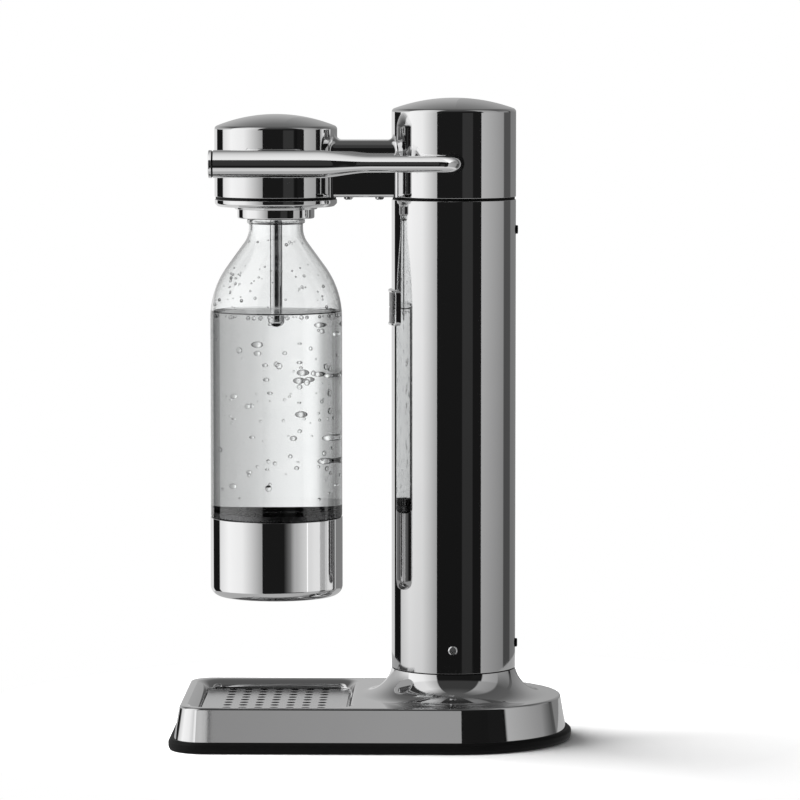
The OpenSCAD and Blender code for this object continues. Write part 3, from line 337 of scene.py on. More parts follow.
# %% [markdown]
# The CAD nodes that stay as they are take the material of their slot in the record.

# %% Dress the CAD nodes
looks = {
    "polished_steel": polished,
    "satin_steel": satin,
    "black_rubber": rubber,
    "black_plastic": black_plastic,
    "pale_plastic": pale_plastic,
    "valve_brass": brass,
    "cylinder_paint": paint,
    "clear_plastic": clear_plastic,
    "badge_steel": badge,
}
for part in frame["record"]["subparts"]:
    node = frame["nodes"][part["node"]]
    node.data.materials.clear()
    node.data.materials.append(looks[part["material_slot"]])

# %% [markdown]
# The drip grid is a perforated sheet. The walls of its holes get a painted shade: its colour
# darkens on faces that point sideways, so the holes read dark.

# %% Drip grid
HOLE_SHADE_GREY, WALL_FACING, TOP_FACING = 0.02, 0.4, 0.8
tree = grid_steel.node_tree
facing = tree.nodes.new("ShaderNodeSeparateXYZ")
geometry = tree.nodes.new("ShaderNodeNewGeometry")
tree.links.new(geometry.outputs["True Normal"], facing.inputs["Vector"])
# Painted shade: faces that point sideways, the walls of the holes, darken towards a near-black
# grey.
painted_hole_shade = tree.nodes.new("ShaderNodeMix")
painted_hole_shade.data_type = "RGBA"
painted_hole_shade.inputs["A"].default_value = (*grey(HOLE_SHADE_GREY), 1)
top_share_of_face = map_range(tree, facing.outputs["Z"], WALL_FACING, TOP_FACING)
tree.links.new(top_share_of_face, painted_hole_shade.inputs["Factor"])
tree.links.new(tree.nodes["Mix"].outputs["Result"], painted_hole_shade.inputs["B"])
tree.links.new(painted_hole_shade.outputs["Result"], tree.nodes["Principled BSDF"].inputs["Base Color"])
frame["nodes"]["drip_grid"].data.materials[0] = grid_steel
print("drip grid faces:", len(frame["nodes"]["drip_grid"].data.polygons))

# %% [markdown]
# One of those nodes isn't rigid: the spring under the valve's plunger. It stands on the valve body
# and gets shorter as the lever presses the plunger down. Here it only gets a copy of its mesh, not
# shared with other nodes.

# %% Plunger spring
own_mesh(frame["nodes"]["plunger_spring"])

# %% [markdown]
# ## The base
#
# Seen from above, the base has a round rear, straight sides and two round front corners. Setting
# that outline in by a distance gives another outline with the same number of points, so a list of
# (inset, height) pairs is all that a sweep needs for the walls and for the rubber rim.

# %% Outlines of the base
FRONT_CORNER = 23.0


def base_loop(inset, z):
    points = []
    rear, corner = HALF_W - inset, FRONT_CORNER - inset
    points += [(COL_X + x, y, z) for x, y in arc(0, 0, rear, -90, 90, 96)]
    for side, start in ((1, 90), (-1, 180)):
        cx, cy = FRONT_X + FRONT_CORNER, side * (HALF_W - FRONT_CORNER)
        points += [(cx + x, cy + y, z) for x, y in arc(0, 0, corner, start, start + 90, 24)]
    return points


tray_low, tray_high = cad_box("drip_grid")
GRID_GAP = 0.8
LEDGE_Z = tray_high.z - 1.3
TRAY_CORNER = 9.0
REAR_SHARE = 0.66


def tray_loop(out, z):
    points = []
    mid_x = (tray_low.x + tray_high.x) / 2
    half_x = (tray_high.x - tray_low.x) / 2 + GRID_GAP - TRAY_CORNER
    half_y = tray_high.y + GRID_GAP - TRAY_CORNER
    for k, (sx, sy) in enumerate(((1, 1), (-1, 1), (-1, -1), (1, -1))):
        wide = TRAY_CORNER + (out * REAR_SHARE if sx > 0 else out)
        points += [(mid_x + sx * half_x + wide * x, sy * half_y + (TRAY_CORNER + out) * y, z)
                   for x, y in arc(0, 0, 1, 90 * k, 90 * k + 90, 16)]
    return points


# %% [markdown]
# Three outlines in height follow: the wall, the tray with its wide rolled edge, and the hollow
# flare that rises from the deck to the column.

# %% Wall, tray and flare
BASE_H, RIM_SEAT, DECK_INSET = 28.3, 5.2, 9.0
TRAY_LIP, LEDGE_IN = 0.1, -5
FLARE_INSET = 15
wall_line = rounded([(3.3, RIM_SEAT), (7.3, BASE_H, 1.7), (DECK_INSET, BASE_H)], steps=10)
ROLL_W, ROLL_H = 9.2, 5.0
roll_r = (ROLL_W ** 2 + ROLL_H ** 2) / (2 * ROLL_H)
roll_a = math.degrees(math.asin(ROLL_W / roll_r))
tray_line = rounded([(LEDGE_IN, LEDGE_Z - 1), (LEDGE_IN, LEDGE_Z, 0.5), (TRAY_LIP, LEDGE_Z, 0.5),
                     (TRAY_LIP, BASE_H - ROLL_H - 0.4)], steps=6)
tray_line += arc(TRAY_LIP + ROLL_W, BASE_H - roll_r, roll_r, 90 + roll_a, 90, 24)
flare_foot = HALF_W - FLARE_INSET
flare_w = flare_foot - COL_R
flare_h = cad_box("base_shell")[1].z - BASE_H
flare_r = (flare_w ** 2 + flare_h ** 2) / (2 * flare_h)
flare_top = 180 + math.degrees(math.asin((flare_r - flare_h) / flare_r))
flare_line = [(COL_R - 1.2, BASE_H + flare_h)]
flare_line += arc(flare_foot, BASE_H + flare_r, flare_r, flare_top, 270, 40)
flare_line.append((flare_foot + 0.15, BASE_H))


# %% [markdown]
# The deck is a flat sheet with two openings, one for the tray and one for the flared neck. A
# constrained triangulation fills the outer loop and keeps the edges of the two inner loops. The
# faces inside those are dropped.

# %% Deck
def encloses(loop, point):
    """Counts how often a line from the point to the right crosses the loop."""
    crossings = 0
    for a, b in zip(loop, loop[1:] + loop[:1]):
        if (a[1] > point.y) != (b[1] > point.y):
            crossings += a[0] + (point.y - a[1]) * (b[0] - a[0]) / (b[1] - a[1]) > point.x
    return crossings % 2 == 1


def deck_between(*loops):
    points, edges = [], []
    for loop in loops:
        start, size = len(points), len(loop)
        points += [Vector(p[:2]) for p in loop]
        edges += [(start + k, start + (k + 1) % size) for k in range(size)]
    verts, _, faces, *_ = delaunay_2d_cdt(points, edges, [], 1, 1e-5)
    kept = []
    for face in faces:
        middle = sum((verts[i] for i in face), Vector((0, 0))) / len(face)
        if not any(encloses(loop, middle) for loop in loops[1:]):
            kept.append(tuple(face))
    return [(v.x, v.y, BASE_H) for v in verts], kept


# %% Base shell
WELL_FLOOR_Z = 13.4
flare = lathe(flare_line, COL_X)
flare_loop = flare[0][-LATHE_STEPS:]
base_side = steel_piece("base_side_skin", sweep([base_loop(inset, z) for inset, z in wall_line]),
                        "machine", "base_shell")
top_shape = merged(
    sweep([tray_loop(out, z) for out, z in tray_line]),
    flare,
    deck_between(base_loop(DECK_INSET, BASE_H), tray_loop(TRAY_LIP + ROLL_W, BASE_H), flare_loop),
)
base_top = steel_piece("base_top_skin", top_shape, "machine")
# Painted shade: the well under the drip grid is steel lying in shade, so it gets the dark badge
# steel.
well_floor = tray_loop(LEDGE_IN, WELL_FLOOR_Z)
well_shade_shape = merged(sweep([well_floor, tray_loop(LEDGE_IN, LEDGE_Z - 1)]),
                    (well_floor, [tuple(range(len(well_floor)))]))
piece("tray_well_shade_skin", well_shade_shape, "machine", badge, "badge_steel")
print("base skin faces:", len(base_side.data.polygons) + len(base_top.data.polygons))

# %% Rubber rim
rim_line = rounded([(0.9, 0, 0.8), (0, 2.2, 1.4), (0, 5.4, 1.6), (1.6, 7, 1.0), (3.6, 7, 0.2),
                    (3.2, RIM_SEAT, 0.2), (8.5, RIM_SEAT, 0.3), (8.5, 0, 0.6)],
                   closed=True, steps=5)
piece("rim_skin", sweep([base_loop(i, z) for i, z in rim_line], closed=True),
      "machine", rubber, "black_rubber", "rubber_rim")

# %% [markdown]
# ## Column, cap, arm and head
#
# The column is a plain tube with tiny rounded ends. The cap and the head are lathed walls with a
# small edge radius and a shallow dome.

# %% Column
column_line = rounded([(COL_R - 1.5, tube_low.z), (COL_R, tube_low.z, 0.3),
                       (COL_R, tube_high.z, 0.3), (COL_R - 1.5, tube_high.z)], steps=4)
column = piece("column_skin", lathe(column_line, COL_X, steps=FINE_STEPS),
               "machine", column_steel, "polished_steel", "column_tube")


# %% Domed walls
SHELL_T = 1.6
CAP_DOME, HEAD_DOME, HEAD_WALL, EDGE_ROUND = 7.3, 8.0, 44.9, 2.6


def domed(radius, top, dome, edge):
    """Outline of a wall with a rounded edge under a shallow dome."""
    big = (radius ** 2 + dome ** 2) / (2 * dome)
    centre = top - big
    edge_z = centre + math.sqrt((big - edge) ** 2 - (radius - edge) ** 2)
    edge_a = math.degrees(math.atan2(edge_z - centre, radius - edge))
    foot = rounded([(radius - SHELL_T, HOUSE_Z + 4), (radius - SHELL_T, HOUSE_Z, 0.3),
                    (radius, HOUSE_Z, 0.3), (radius, HOUSE_Z + 4)], steps=4)
    over_edge = arc(radius - edge, edge_z, edge, 0, edge_a, 12)
    return foot + over_edge + arc(0, centre, big, edge_a, 90, 40)[1:]


cap_line = domed(COL_R, house_high.z, CAP_DOME, EDGE_ROUND)
cap_shape = lathe(cap_line, COL_X, steps=FINE_STEPS)
head_line = domed(HEAD_R, HOUSE_Z + HEAD_WALL + HEAD_DOME, HEAD_DOME, EDGE_ROUND)
head_shape = lathe(head_line, HEAD_X, steps=FINE_STEPS)

# %% [markdown]
# The arm is a U-shaped section between the head and the cap. Where it meets the round walls there
# is a small hollow fillet. A ball of the fillet's radius rolls along the corner: its centre stays
# one radius off the arm and one radius off the round wall, and the fillet is the strip of the ball
# between the two contact points.

# %% Arm
ARM_W, ARM_H, ARM_ROUND, ARM_FOOT, ARM_SUNK = 17.5, 36.4, 7.0, 2.2, 6
arm_top = HOUSE_Z + ARM_H


def corner(y, z, radius, start, end):
    """Points of a rounded corner, each with the direction it faces."""
    return [(y + radius * c, z + radius * s, (c, s)) for c, s in arc(0, 0, 1, start, end, 12)]


over_arm = (corner(ARM_ROUND - ARM_W, arm_top - ARM_ROUND, ARM_ROUND, 180, 90)
            + corner(ARM_W - ARM_ROUND, arm_top - ARM_ROUND, ARM_ROUND, 90, 0))
arm_line = (corner(ARM_FOOT - ARM_W, HOUSE_Z + ARM_FOOT, ARM_FOOT, 270, 180) + over_arm
            + corner(ARM_W - ARM_FOOT, HOUSE_Z + ARM_FOOT, ARM_FOOT, 0, -90))
inner = [(y - SHELL_T * n[0], max(z - SHELL_T * n[1], HOUSE_Z)) for y, z, n in reversed(arm_line)]
section = [(y, z) for y, z, n in arm_line] + inner
arm_ends = (HEAD_X + HEAD_R - ARM_SUNK, COL_X - COL_R + ARM_SUNK)
arm_shape = sweep([[(x, y, z) for y, z in section] for x in arm_ends])

# %% Rolling-ball fillets
FILLET, FILLET_STEPS = 4.0, 8


def fillet(axis_x, radius, side):
    rows = []
    for y, z, (ny, nz) in [(-ARM_W, HOUSE_Z, (-1, 0))] + over_arm + [(ARM_W, HOUSE_Z, (1, 0))]:
        cy, cz = y + FILLET * ny, z + FILLET * nz
        cx = math.sqrt((radius + FILLET) ** 2 - cy ** 2)
        to_arm = Vector((0, -ny, -nz))
        to_wall = Vector((-cx, -cy, 0)) / (radius + FILLET)
        row = []
        for k in range(FILLET_STEPS + 1):
            point = Vector((cx, cy, cz)) + FILLET * to_arm.slerp(to_wall, k / FILLET_STEPS)
            row.append((axis_x + side * point.x, point.y, point.z))
        rows.append(row)
    size = len(rows[0])
    faces = [(i * size + k, i * size + k + 1, (i + 1) * size + k + 1, (i + 1) * size + k)
             for i in range(len(rows) - 1) for k in range(size - 1)]
    return [p for row in rows for p in row], faces


housing_shape = merged(cap_shape, head_shape, arm_shape,
                       fillet(HEAD_X, HEAD_R, 1), fillet(COL_X, COL_R, -1))
housing = steel_piece("housing_skin", housing_shape, "machine", "upper_housing")
print("housing skin faces:", len(housing.data.polygons))

# %% [markdown]
# ## Underside of the head
#
# A dished cover closes the head, and the collar that takes the bottle stands out below it.

# %% Cover and collar
COVER_R, COVER_HOLE_R = HEAD_R - 0.15, 24.9
cover_line = rounded([(COVER_HOLE_R, cover_low.z, 0.3), (26.3, cover_low.z, 0.5),
                      (27.2, cover_low.z + 1.6, 0.6), (COVER_R - 2, cover_high.z - 4.6, 2.2),
                      (COVER_R, cover_high.z - 2.6, 1.2), (COVER_R, cover_high.z, 0.3),
                      (COVER_R - 2, cover_high.z, 0.2), (COVER_HOLE_R, cover_high.z - 2.4, 0.2)],
                     closed=True, steps=8)
steel_piece("cover_skin", lathe(cover_line, HEAD_X, closed=True), "machine", "head_cover")
COLLAR_R, COLLAR_BORE_R = 24.8, 19.5
collar_low, collar_high = cad_box("bottle_collar")
collar_line = rounded([(COLLAR_BORE_R, collar_low.z + 1, 0.3), (20.5, collar_low.z, 0.4),
                       (COLLAR_R, collar_low.z, 1.0), (COLLAR_R, collar_high.z - 10, 0.2),
                       (COLLAR_BORE_R, collar_high.z - 10, 0.2)], closed=True, steps=6)
steel_piece("collar_skin", lathe(collar_line, HEAD_X, closed=True), "machine", "bottle_collar")

# %% Nozzle tube and its tip
PIPE_T, PIPE_STEPS, JET_R = 1.1, 64, 0.6
pipe_low, pipe_high = cad_box("nozzle_tube")
PIPE_R = (pipe_high.x - pipe_low.x) / 2
pipe_line = [(PIPE_R - PIPE_T, pipe_low.z), (PIPE_R, pipe_low.z),
             (PIPE_R, pipe_high.z), (PIPE_R - PIPE_T, pipe_high.z)]
pipe_shape = lathe(pipe_line, HEAD_X, closed=True, steps=PIPE_STEPS)
steel_piece("nozzle_skin", pipe_shape, "machine", "nozzle_tube")
tip_z = cad_box("nozzle_tip")[0].z
tip_bowl = [(PIPE_R * x, pipe_low.z + (pipe_low.z - tip_z) * z)
            for x, z in arc(0, 0, 1, 360, 280, 14)]
tip_line = [(PIPE_R - PIPE_T, pipe_low.z)] + tip_bowl + [(JET_R, tip_z), (JET_R, pipe_low.z)]
tip_shape = lathe(tip_line, HEAD_X, closed=True, steps=PIPE_STEPS)
steel_piece("tip_skin", tip_shape, "machine", "nozzle_tip")

# %% [markdown]
# The plate on the column's front is bent round the tube. A bright frame runs round a darker panel,
# and both are loops that step inwards on the curved face.

# %% Badge plate
BADGE_T, BADGE_ROUND, BADGE_EDGE_N = 2.2, 3.0, 12
badge_low, badge_high = cad_box("badge_plate")
badge_z = (badge_low.z + badge_high.z) / 2 + 0.7
badge_half_h = (badge_high.z - badge_low.z) / 2 - 0.2
badge_half_w = COL_R * math.asin((badge_high.y + 1.5) / COL_R)


def badge_loop(inset, out):
    radius = max(BADGE_ROUND - inset, 0.4)
    wide, high = badge_half_w - inset - radius, badge_half_h - inset - radius
    flat = []
    for k, (su, sv) in enumerate(((1, 1), (-1, 1), (-1, -1), (1, -1))):
        flat += [(su * wide + u, sv * high + v)
                 for u, v in arc(0, 0, radius, 90 * k, 90 * k + 90, 8)]
        if su == sv:
            flat += [(su * wide * (1 - 2 * j / BADGE_EDGE_N), sv * (high + radius))
                     for j in range(1, BADGE_EDGE_N)]
    bent = COL_R + out
    return [(COL_X - bent * math.cos(u / COL_R), -bent * math.sin(u / COL_R), badge_z + v)
            for u, v in flat]


# %% Frame and panel of the badge
FRAME_W, PANEL_SUNK = 1.6, 0.6
frame_line = rounded([(0, -0.4), (0, BADGE_T, 0.5), (1.4, BADGE_T, 0.3),
                      (FRAME_W, BADGE_T - PANEL_SUNK)], steps=4)
panel_insets = (FRAME_W, 3, 5, 7, badge_half_h - 0.6)
panel_loops = [badge_loop(inset, BADGE_T - PANEL_SUNK) for inset in panel_insets]
panel_middle = panel_loops[-1]
badge_frame = steel_piece("badge_frame_skin", sweep([badge_loop(*step) for step in frame_line]),
                          "machine", "badge_plate")
panel_shape = merged(sweep(panel_loops), (panel_middle, [tuple(range(len(panel_middle)))]))
badge_panel = piece("badge_panel_skin", panel_shape, "machine", badge, "badge_steel")
print("badge faces:", len(badge_frame.data.polygons) + len(badge_panel.data.polygons))

# %% [markdown]
# ## The lever
#
# The lever is one round bar: a thick handle that tapers to a rod and bends into the cap's side.
# A list of (place, direction, radius) along its middle line is swept with circles.

# %% Lever bar
SHAFT_Z = (lever_low.z + lever_high.z) / 2
HANDLE_R = (lever_high.z - lever_low.z) / 2
SIDE_Y = lever_low.y + HANDLE_R
ROD_R, BEND_R, HANDLE_LEN, TAPER = 5.25, 10.0, 65.0, 36.0
TAPER_STEPS, BEND_STEPS, RING_STEPS = 24, 20, 72
taper_x = lever_low.x + HANDLE_LEN
stations = [((lever_low.x + 0.3, SIDE_Y), 0, HANDLE_R - 0.35),
            ((lever_low.x + 0.6, SIDE_Y), 0, HANDLE_R)]
stations += [((taper_x + TAPER * t / TAPER_STEPS, SIDE_Y), 0,
              ROD_R + (HANDLE_R - ROD_R) * (1 + math.cos(math.pi * t / TAPER_STEPS)) / 2)
             for t in range(TAPER_STEPS + 1)]
bend = (COL_X - BEND_R, SIDE_Y + BEND_R)
stations += [((bend[0] + x, bend[1] + y), math.radians(90 * k / BEND_STEPS), ROD_R)
             for k, (x, y) in enumerate(arc(0, 0, BEND_R, -90, 0, BEND_STEPS))]
stations += [((COL_X, lever_high.y), math.pi / 2, ROD_R)]


def ring_at(place, heading, radius):
    across = Vector((-math.sin(heading), math.cos(heading), 0))
    middle = Vector((place[0], place[1], SHAFT_Z))
    upward = Vector((0, 0, 1))
    return [tuple(middle + radius * (math.cos(a) * across + math.sin(a) * upward))
            for a in full_turn(RING_STEPS)]


lever_shape = sweep([ring_at(*s) for s in stations])
lever_shape[1].append(tuple(range(RING_STEPS)))
lever_bar = steel_piece("lever_skin", lever_shape, "lever", "lever")

# %% Disc on the handle's end, and a black ring behind it as painted shade of the gap
DISC_T, DISC_STEP = 2.0, 1.0
disc_x = cad_box("lever_end_cap")[0].x
disc_line = rounded([(0, 0), (HANDLE_R, 0, 0.45), (HANDLE_R, DISC_T, 0.2),
                     (HANDLE_R - DISC_STEP, DISC_T, 0.1), (HANDLE_R - DISC_STEP, 2.4)], steps=6)
disc_shape = sweep([ring_at((disc_x + along, SIDE_Y), 0, radius)
                    for radius, along in disc_line if radius > 0])
disc_shape[1].append(tuple(range(RING_STEPS)))
disc = steel_piece("lever_disc_skin", disc_shape, "lever", "lever_end_cap")
# Painted shade: a black rubber ring fills the gap between disc and handle, so the gap reads as a
# dark line.
gap_shade_shape = sweep([ring_at((x, SIDE_Y), 0, HANDLE_R - 0.6)
                    for x in (disc_x + 1.9, lever_low.x + 0.45)])
piece("lever_gap_shade_skin", gap_shade_shape, "lever", rubber, "black_rubber")

# %% [markdown]
# ## The bottle
#
# The bottle is lathed with a real wall, an outer line and an inner line, because clear plastic
# needs both faces to bend light as it should.

# %% Outline of the bottle
WALL, NECK_LEN = 1.4, 84.2
bottle_low, bottle_high = cad_box("bottle")
BOTTLE_R, FOOT_R, FOOT_EDGE = 42.5, 41.6, 8.4
shoulder_z = bottle_high.z - NECK_LEN
NECK_R, NECK_HOLLOW, SHOULDER_R, SHOULDER_A = 17.4, 16.0, 57.0, 36.0
neck_x, shoulder_x = NECK_R + NECK_HOLLOW, BOTTLE_R - SHOULDER_R
lean = math.radians(SHOULDER_A)
neck_rise = (SHOULDER_R + NECK_HOLLOW - (neck_x - shoulder_x) * math.cos(lean)) / math.sin(lean)
neck_z = shoulder_z + neck_rise
punt_w, punt_h = FOOT_R - FOOT_EDGE, 9.0
punt_r = (punt_w ** 2 + punt_h ** 2) / (2 * punt_h)


def bottle_side(inset):
    foot = bottle_low.z
    edge_a = math.degrees(math.acos(punt_w / (punt_r + inset)))
    return (arc(0, foot + punt_h - punt_r, punt_r + inset, 89.9, edge_a, 16)
            + arc(FOOT_R - FOOT_EDGE, foot + FOOT_EDGE, FOOT_EDGE - inset, 280, 360, 10)
            + rounded([(FOOT_R - inset, foot + 40), (FOOT_R - inset, cup_high.z + 0.1, 0.6),
                       (BOTTLE_R - inset, cup_high.z + 1.0, 0.6),
                       (BOTTLE_R - inset, cup_high.z + 10)])[1:]
            + arc(shoulder_x, shoulder_z, SHOULDER_R - inset, 0, SHOULDER_A, 40)
            + arc(neck_x, neck_z, NECK_HOLLOW + inset, 180 + SHOULDER_A, 180, 20))


# %% Bottle
NECK_RING_R, NECK_RING_H = 18.7, 3
ring_z = collar_low.z - 3.3
ring_top = ring_z + NECK_RING_H
neck_line = rounded([(NECK_R, ring_z - 1), (NECK_R, ring_z, 0.4), (NECK_RING_R, ring_z, 1.1),
                     (NECK_RING_R, ring_top, 1.1), (NECK_R, ring_top, 0.3),
                     (NECK_R, bottle_high.z, 0.6), (NECK_R - WALL, bottle_high.z, 0.6),
                     (NECK_R - WALL, ring_z)], steps=6)
bottle_line = bottle_side(0) + neck_line + bottle_side(WALL)[::-1]
piece("bottle_skin", lathe(bottle_line, HEAD_X), "bottle", clear_plastic, "clear_plastic", "bottle")

# %% [markdown]
# The steel cup is a polished shell with a duller lining. A dark band shows through the bottle's
# wall just above the cup.

# %% Cup, lining and band
CUP_R, CUP_EDGE, CUP_T, AXIS_R = cup_high.x - HEAD_X, 6.5, 1, 0.05
cup_line = ([(AXIS_R, cup_low.z)]
            + arc(CUP_R - CUP_EDGE, cup_low.z + CUP_EDGE, CUP_EDGE, 270, 360, 16)
            + rounded([(CUP_R, cup_high.z - 5), (CUP_R, cup_high.z, 0.35),
                       (CUP_R - CUP_T, cup_high.z, 0.35), (CUP_R - CUP_T, cup_high.z - 1)]))
cup = steel_piece("cup_skin", lathe(cup_line, HEAD_X), "bottle", "bottle_cup")
lining_line = ([(CUP_R - CUP_T, cup_high.z - 1)]
               + arc(CUP_R - CUP_EDGE, cup_low.z + CUP_EDGE, CUP_EDGE - CUP_T, 360, 270, 12)
               + [(AXIS_R, cup_low.z + CUP_T)])
piece("cup_lining_skin", lathe(lining_line, HEAD_X), "bottle", brushed, "satin_steel")
BAND_R, BAND_T = FOOT_R - 0.2, 0.25
band_low, band_high = cup_high.z - 3, cup_high.z + 3.8
band_line = [(BAND_R, band_low), (BAND_R, band_high),
             (BAND_R - BAND_T, band_high), (BAND_R - BAND_T, band_low)]
band_shape = lathe(band_line, HEAD_X, closed=True)
piece("foot_band_skin", band_shape, "bottle", badge, "badge_steel")

# %% [markdown]
# ## Water, bubbles and drops
#
# The water reaches a hair into the bottle's wall, so that no thin film of air is left between
# them. Its top curls up at the wall. The bubbles are small spheres placed by a seeded random
# generator, so that each run gives the same picture.

# %% Water
WATER_Z, CURL_H, WALL_BITE = 276.0, 1.2, 0.25
inside = [(r, z) for r, z in bottle_side(WALL - WALL_BITE) if z < WATER_Z]
curl_drop = WATER_Z + CURL_H - shoulder_z
edge_r = shoulder_x + math.sqrt((SHOULDER_R - WALL + WALL_BITE) ** 2 - curl_drop ** 2)
curl = [(edge_r, WATER_Z + CURL_H), (edge_r - 0.5, WATER_Z + 0.7), (edge_r - 1.2, WATER_Z + 0.3),
        (edge_r - 2.4, WATER_Z + 0.05), (AXIS_R, WATER_Z)]
piece("water", lathe(inside + curl, HEAD_X), "bottle", water_look, "clear_plastic")


# %% Bubbles
def ball(centre, radius, rings=8, steps=14):
    x, y, z = centre
    loops = []
    for i in range(rings + 1):
        t = math.pi * (i + 0.02) / (rings + 0.04)
        out, height = radius * math.sin(t), z + radius * math.cos(t)
        loops.append([(x + out * math.cos(a), y + out * math.sin(a), height)
                      for a in full_turn(steps)])
    return sweep(loops)


dice = random.Random(7)
balls = []


def bubble(angle, out, height, size):
    balls.append(ball((HEAD_X + out * math.cos(angle), out * math.sin(angle), height), size))


# Rising bubbles first, then those that cling to the wall, then those that float at the top.
INSIDE_R, LOWEST_Z = BOTTLE_R - WALL - 0.3, 150
RISING, CLINGING, FLOATING = 60, 75, 110
for _ in range(RISING):
    size = dice.choice((0.6, 0.8, 1.0, 1.3, 1.7))
    bubble(dice.uniform(0, 2 * math.pi), (INSIDE_R - 2) * math.sqrt(dice.random()),
           dice.uniform(LOWEST_Z, WATER_Z - 4), size)
for _ in range(CLINGING):
    size = dice.choice((0.7, 1.0, 1.3, 1.7, 2.1))
    bubble(dice.gauss(dice.choice((-0.7, 1.3)), 0.8), INSIDE_R - size * 1.02,
           dice.triangular(LOWEST_Z, 270, 258), size)
for _ in range(FLOATING):
    size = dice.choice((0.5, 0.8, 1.1, 1.4))
    bubble(dice.uniform(0, 2 * math.pi), INSIDE_R - 2.2 - dice.expovariate(0.5),
           WATER_Z - size - 0.5, size)
piece("bubbles", merged(*balls), "bottle", gas_look, "clear_plastic")
print("bubbles:", len(balls))

# %% Drops on the dry wall above the water
dry_wall = [(r, z) for r, z in bottle_side(WALL) if WATER_Z + 4 < z < neck_z - 8]
DROPS = 90
drops = []
for _ in range(DROPS):
    r, z = dice.choice(dry_wall)
    size, angle = dice.choice((0.4, 0.6, 0.8, 1.1)), dice.uniform(0, 2 * math.pi)
    spot = (HEAD_X + r * math.cos(angle), r * math.sin(angle), z + dice.uniform(-1, 1))
    drops.append(ball(spot, size))
piece("drops", merged(*drops), "bottle", water_look, "clear_plastic")

# %% [markdown]
# ## The studio
#
# A mirror shows its surroundings, so the studio *is* the look of polished steel. The world is
# painted by direction: *azimuth* runs round the horizon, with 0 towards the camera and minus to
# the left, and *elevation* is the height above the horizon. Camera rays skip the painting and see
# plain white, as in a cut-out product picture.

# %% World painted by direction
world = bpy.data.worlds.new("studio")
bpy.context.scene.world = world
world.use_nodes = True
wn, wl = world.node_tree.nodes, world.node_tree.links


def value(kind, *inputs):
    """A math node; inputs are numbers or sockets."""
    node = wn.new("ShaderNodeMath")
    node.operation = kind
    for socket, given in zip(node.inputs, inputs):
        if isinstance(given, (int, float)):
            socket.default_value = given
        else:
            wl.new(given, socket)
    return node.outputs[0]


def set_stops(bar, stops):
    """Grey stops of a colour ramp, as (position, level)."""
    while len(bar.elements) < len(stops):
        bar.elements.new(0.5)
    for element, (position, level) in zip(bar.elements, stops):
        element.position = position
        element.color = (*grey(level), 1)


def ramp(position, stops):
    """Grey levels at angles from -180 to 180 degrees."""
    node = wn.new("ShaderNodeValToRGB")
    set_stops(node.color_ramp, [((angle + 180) / 360, level) for angle, level in stops])
    wl.new(value("ADD", value("DIVIDE", position, 360.0), 0.5), node.inputs[0])
    return node.outputs[0]


def blend_of(a, b, factor):
    node = wn.new("ShaderNodeMix")
    node.data_type = "RGBA"
    wl.new(a, node.inputs["A"])
    wl.new(b, node.inputs["B"])
    wl.new(factor, node.inputs["Factor"])
    return node.outputs["Result"]


def between(source, low, high):
    """0 below low, 1 above high, straight in between."""
    return map_range(world.node_tree, source, low, high)


# %% Directions as angles
direction = wn.new("ShaderNodeSeparateXYZ")
wl.new(wn.new("ShaderNodeTexCoord").outputs["Generated"], direction.inputs[0])
DEG = 180 / math.pi
toward = value("MULTIPLY", direction.outputs["Y"], -1.0)
azimuth = value("MULTIPLY", value("ARCTAN2", direction.outputs["X"], toward), DEG)
elevation = value("MULTIPLY", value("ARCSINE", direction.outputs["Z"]), DEG)
overhead = value("MULTIPLY", value("ARCTAN2", direction.outputs["Z"], toward), DEG)

# %% [markdown]
# Grey ramps describe the studio: one for what lies below the horizon, which the upright walls
# mirror, one for the band above it, and two for the top, in front and behind. Two plain ones fill
# the zenith and the ground. Bright steps are soft boxes and dark steps are the gaps between them.

# %% Soft boxes and gaps
low_band = ramp(azimuth, [
    (-180, 0.7), (-143, 0.88), (-142, 0.01), (-116, 0.01), (-115, 0.9), (-90, 1.15), (-60, 1.05),
    (-40, 0.7), (-22.5, 0.38), (-21.5, 0.012), (16, 0.012), (17, 0.04), (36, 0.04), (37, 0.008),
    (51, 0.008), (52, 0.55), (106, 0.34), (108, 0.095), (130, 0.095), (132, 0.24), (180, 0.24)])
mid_band = ramp(azimuth, [
    (-180, 0.5), (-140, 0.5), (-121, 0.6), (-90, 1.15), (-60, 1.05), (-32, 0.6), (-31, 0.012),
    (57, 0.01), (58, 0.5), (110, 0.3), (124, 0.24), (125, 0.03), (131, 0.03), (132, 0.2),
    (180, 0.4)])
front_band = ramp(azimuth, [
    (-180, 0.1), (-110, 0.1), (-95, 0.9), (-60, 0.9), (-33, 0.5), (-31, 0.05), (51, 0.05),
    (54, 0.4), (95, 0.3), (110, 0.1), (180, 0.1)])
back_band = ramp(overhead, [
    (-180, 0.5), (0, 0.1), (94, 0.1), (130, 0.13), (150, 0.24), (176, 0.5), (180, 0.5)])
zenith = ramp(azimuth, [(-180, 0.11), (180, 0.11)])
under_band = ramp(azimuth, [(-180, 0.75), (180, 0.75)])

# %% Blend the bands by height
low_side = blend_of(under_band, low_band, between(elevation, -34.0, -27.0))
side_band = blend_of(low_side, mid_band, between(elevation, 0.0, 3.0))
front_top = between(elevation, 32.0, 36.0)
back_top = between(elevation, 6.0, 40.0)
is_back = between(overhead, 95.0, 100.0)
is_front = value("SUBTRACT", 1.0, is_back)
top_share = value("ADD", value("MULTIPLY", front_top, is_front),
                  value("MULTIPLY", back_top, is_back))
front_side = blend_of(front_band, zenith, between(elevation, 60.0, 80.0))
painted = blend_of(side_band, blend_of(front_side, back_band, is_back), top_share)

# %% [markdown]
# Light that passes through the clear bottle should meet a bright backdrop, because the real one
# stood in front of a white wall. So rays that were transmitted see a brighter back wall, unless
# they met a mirror first: the bottle's image in the column shows the studio's dark gaps.

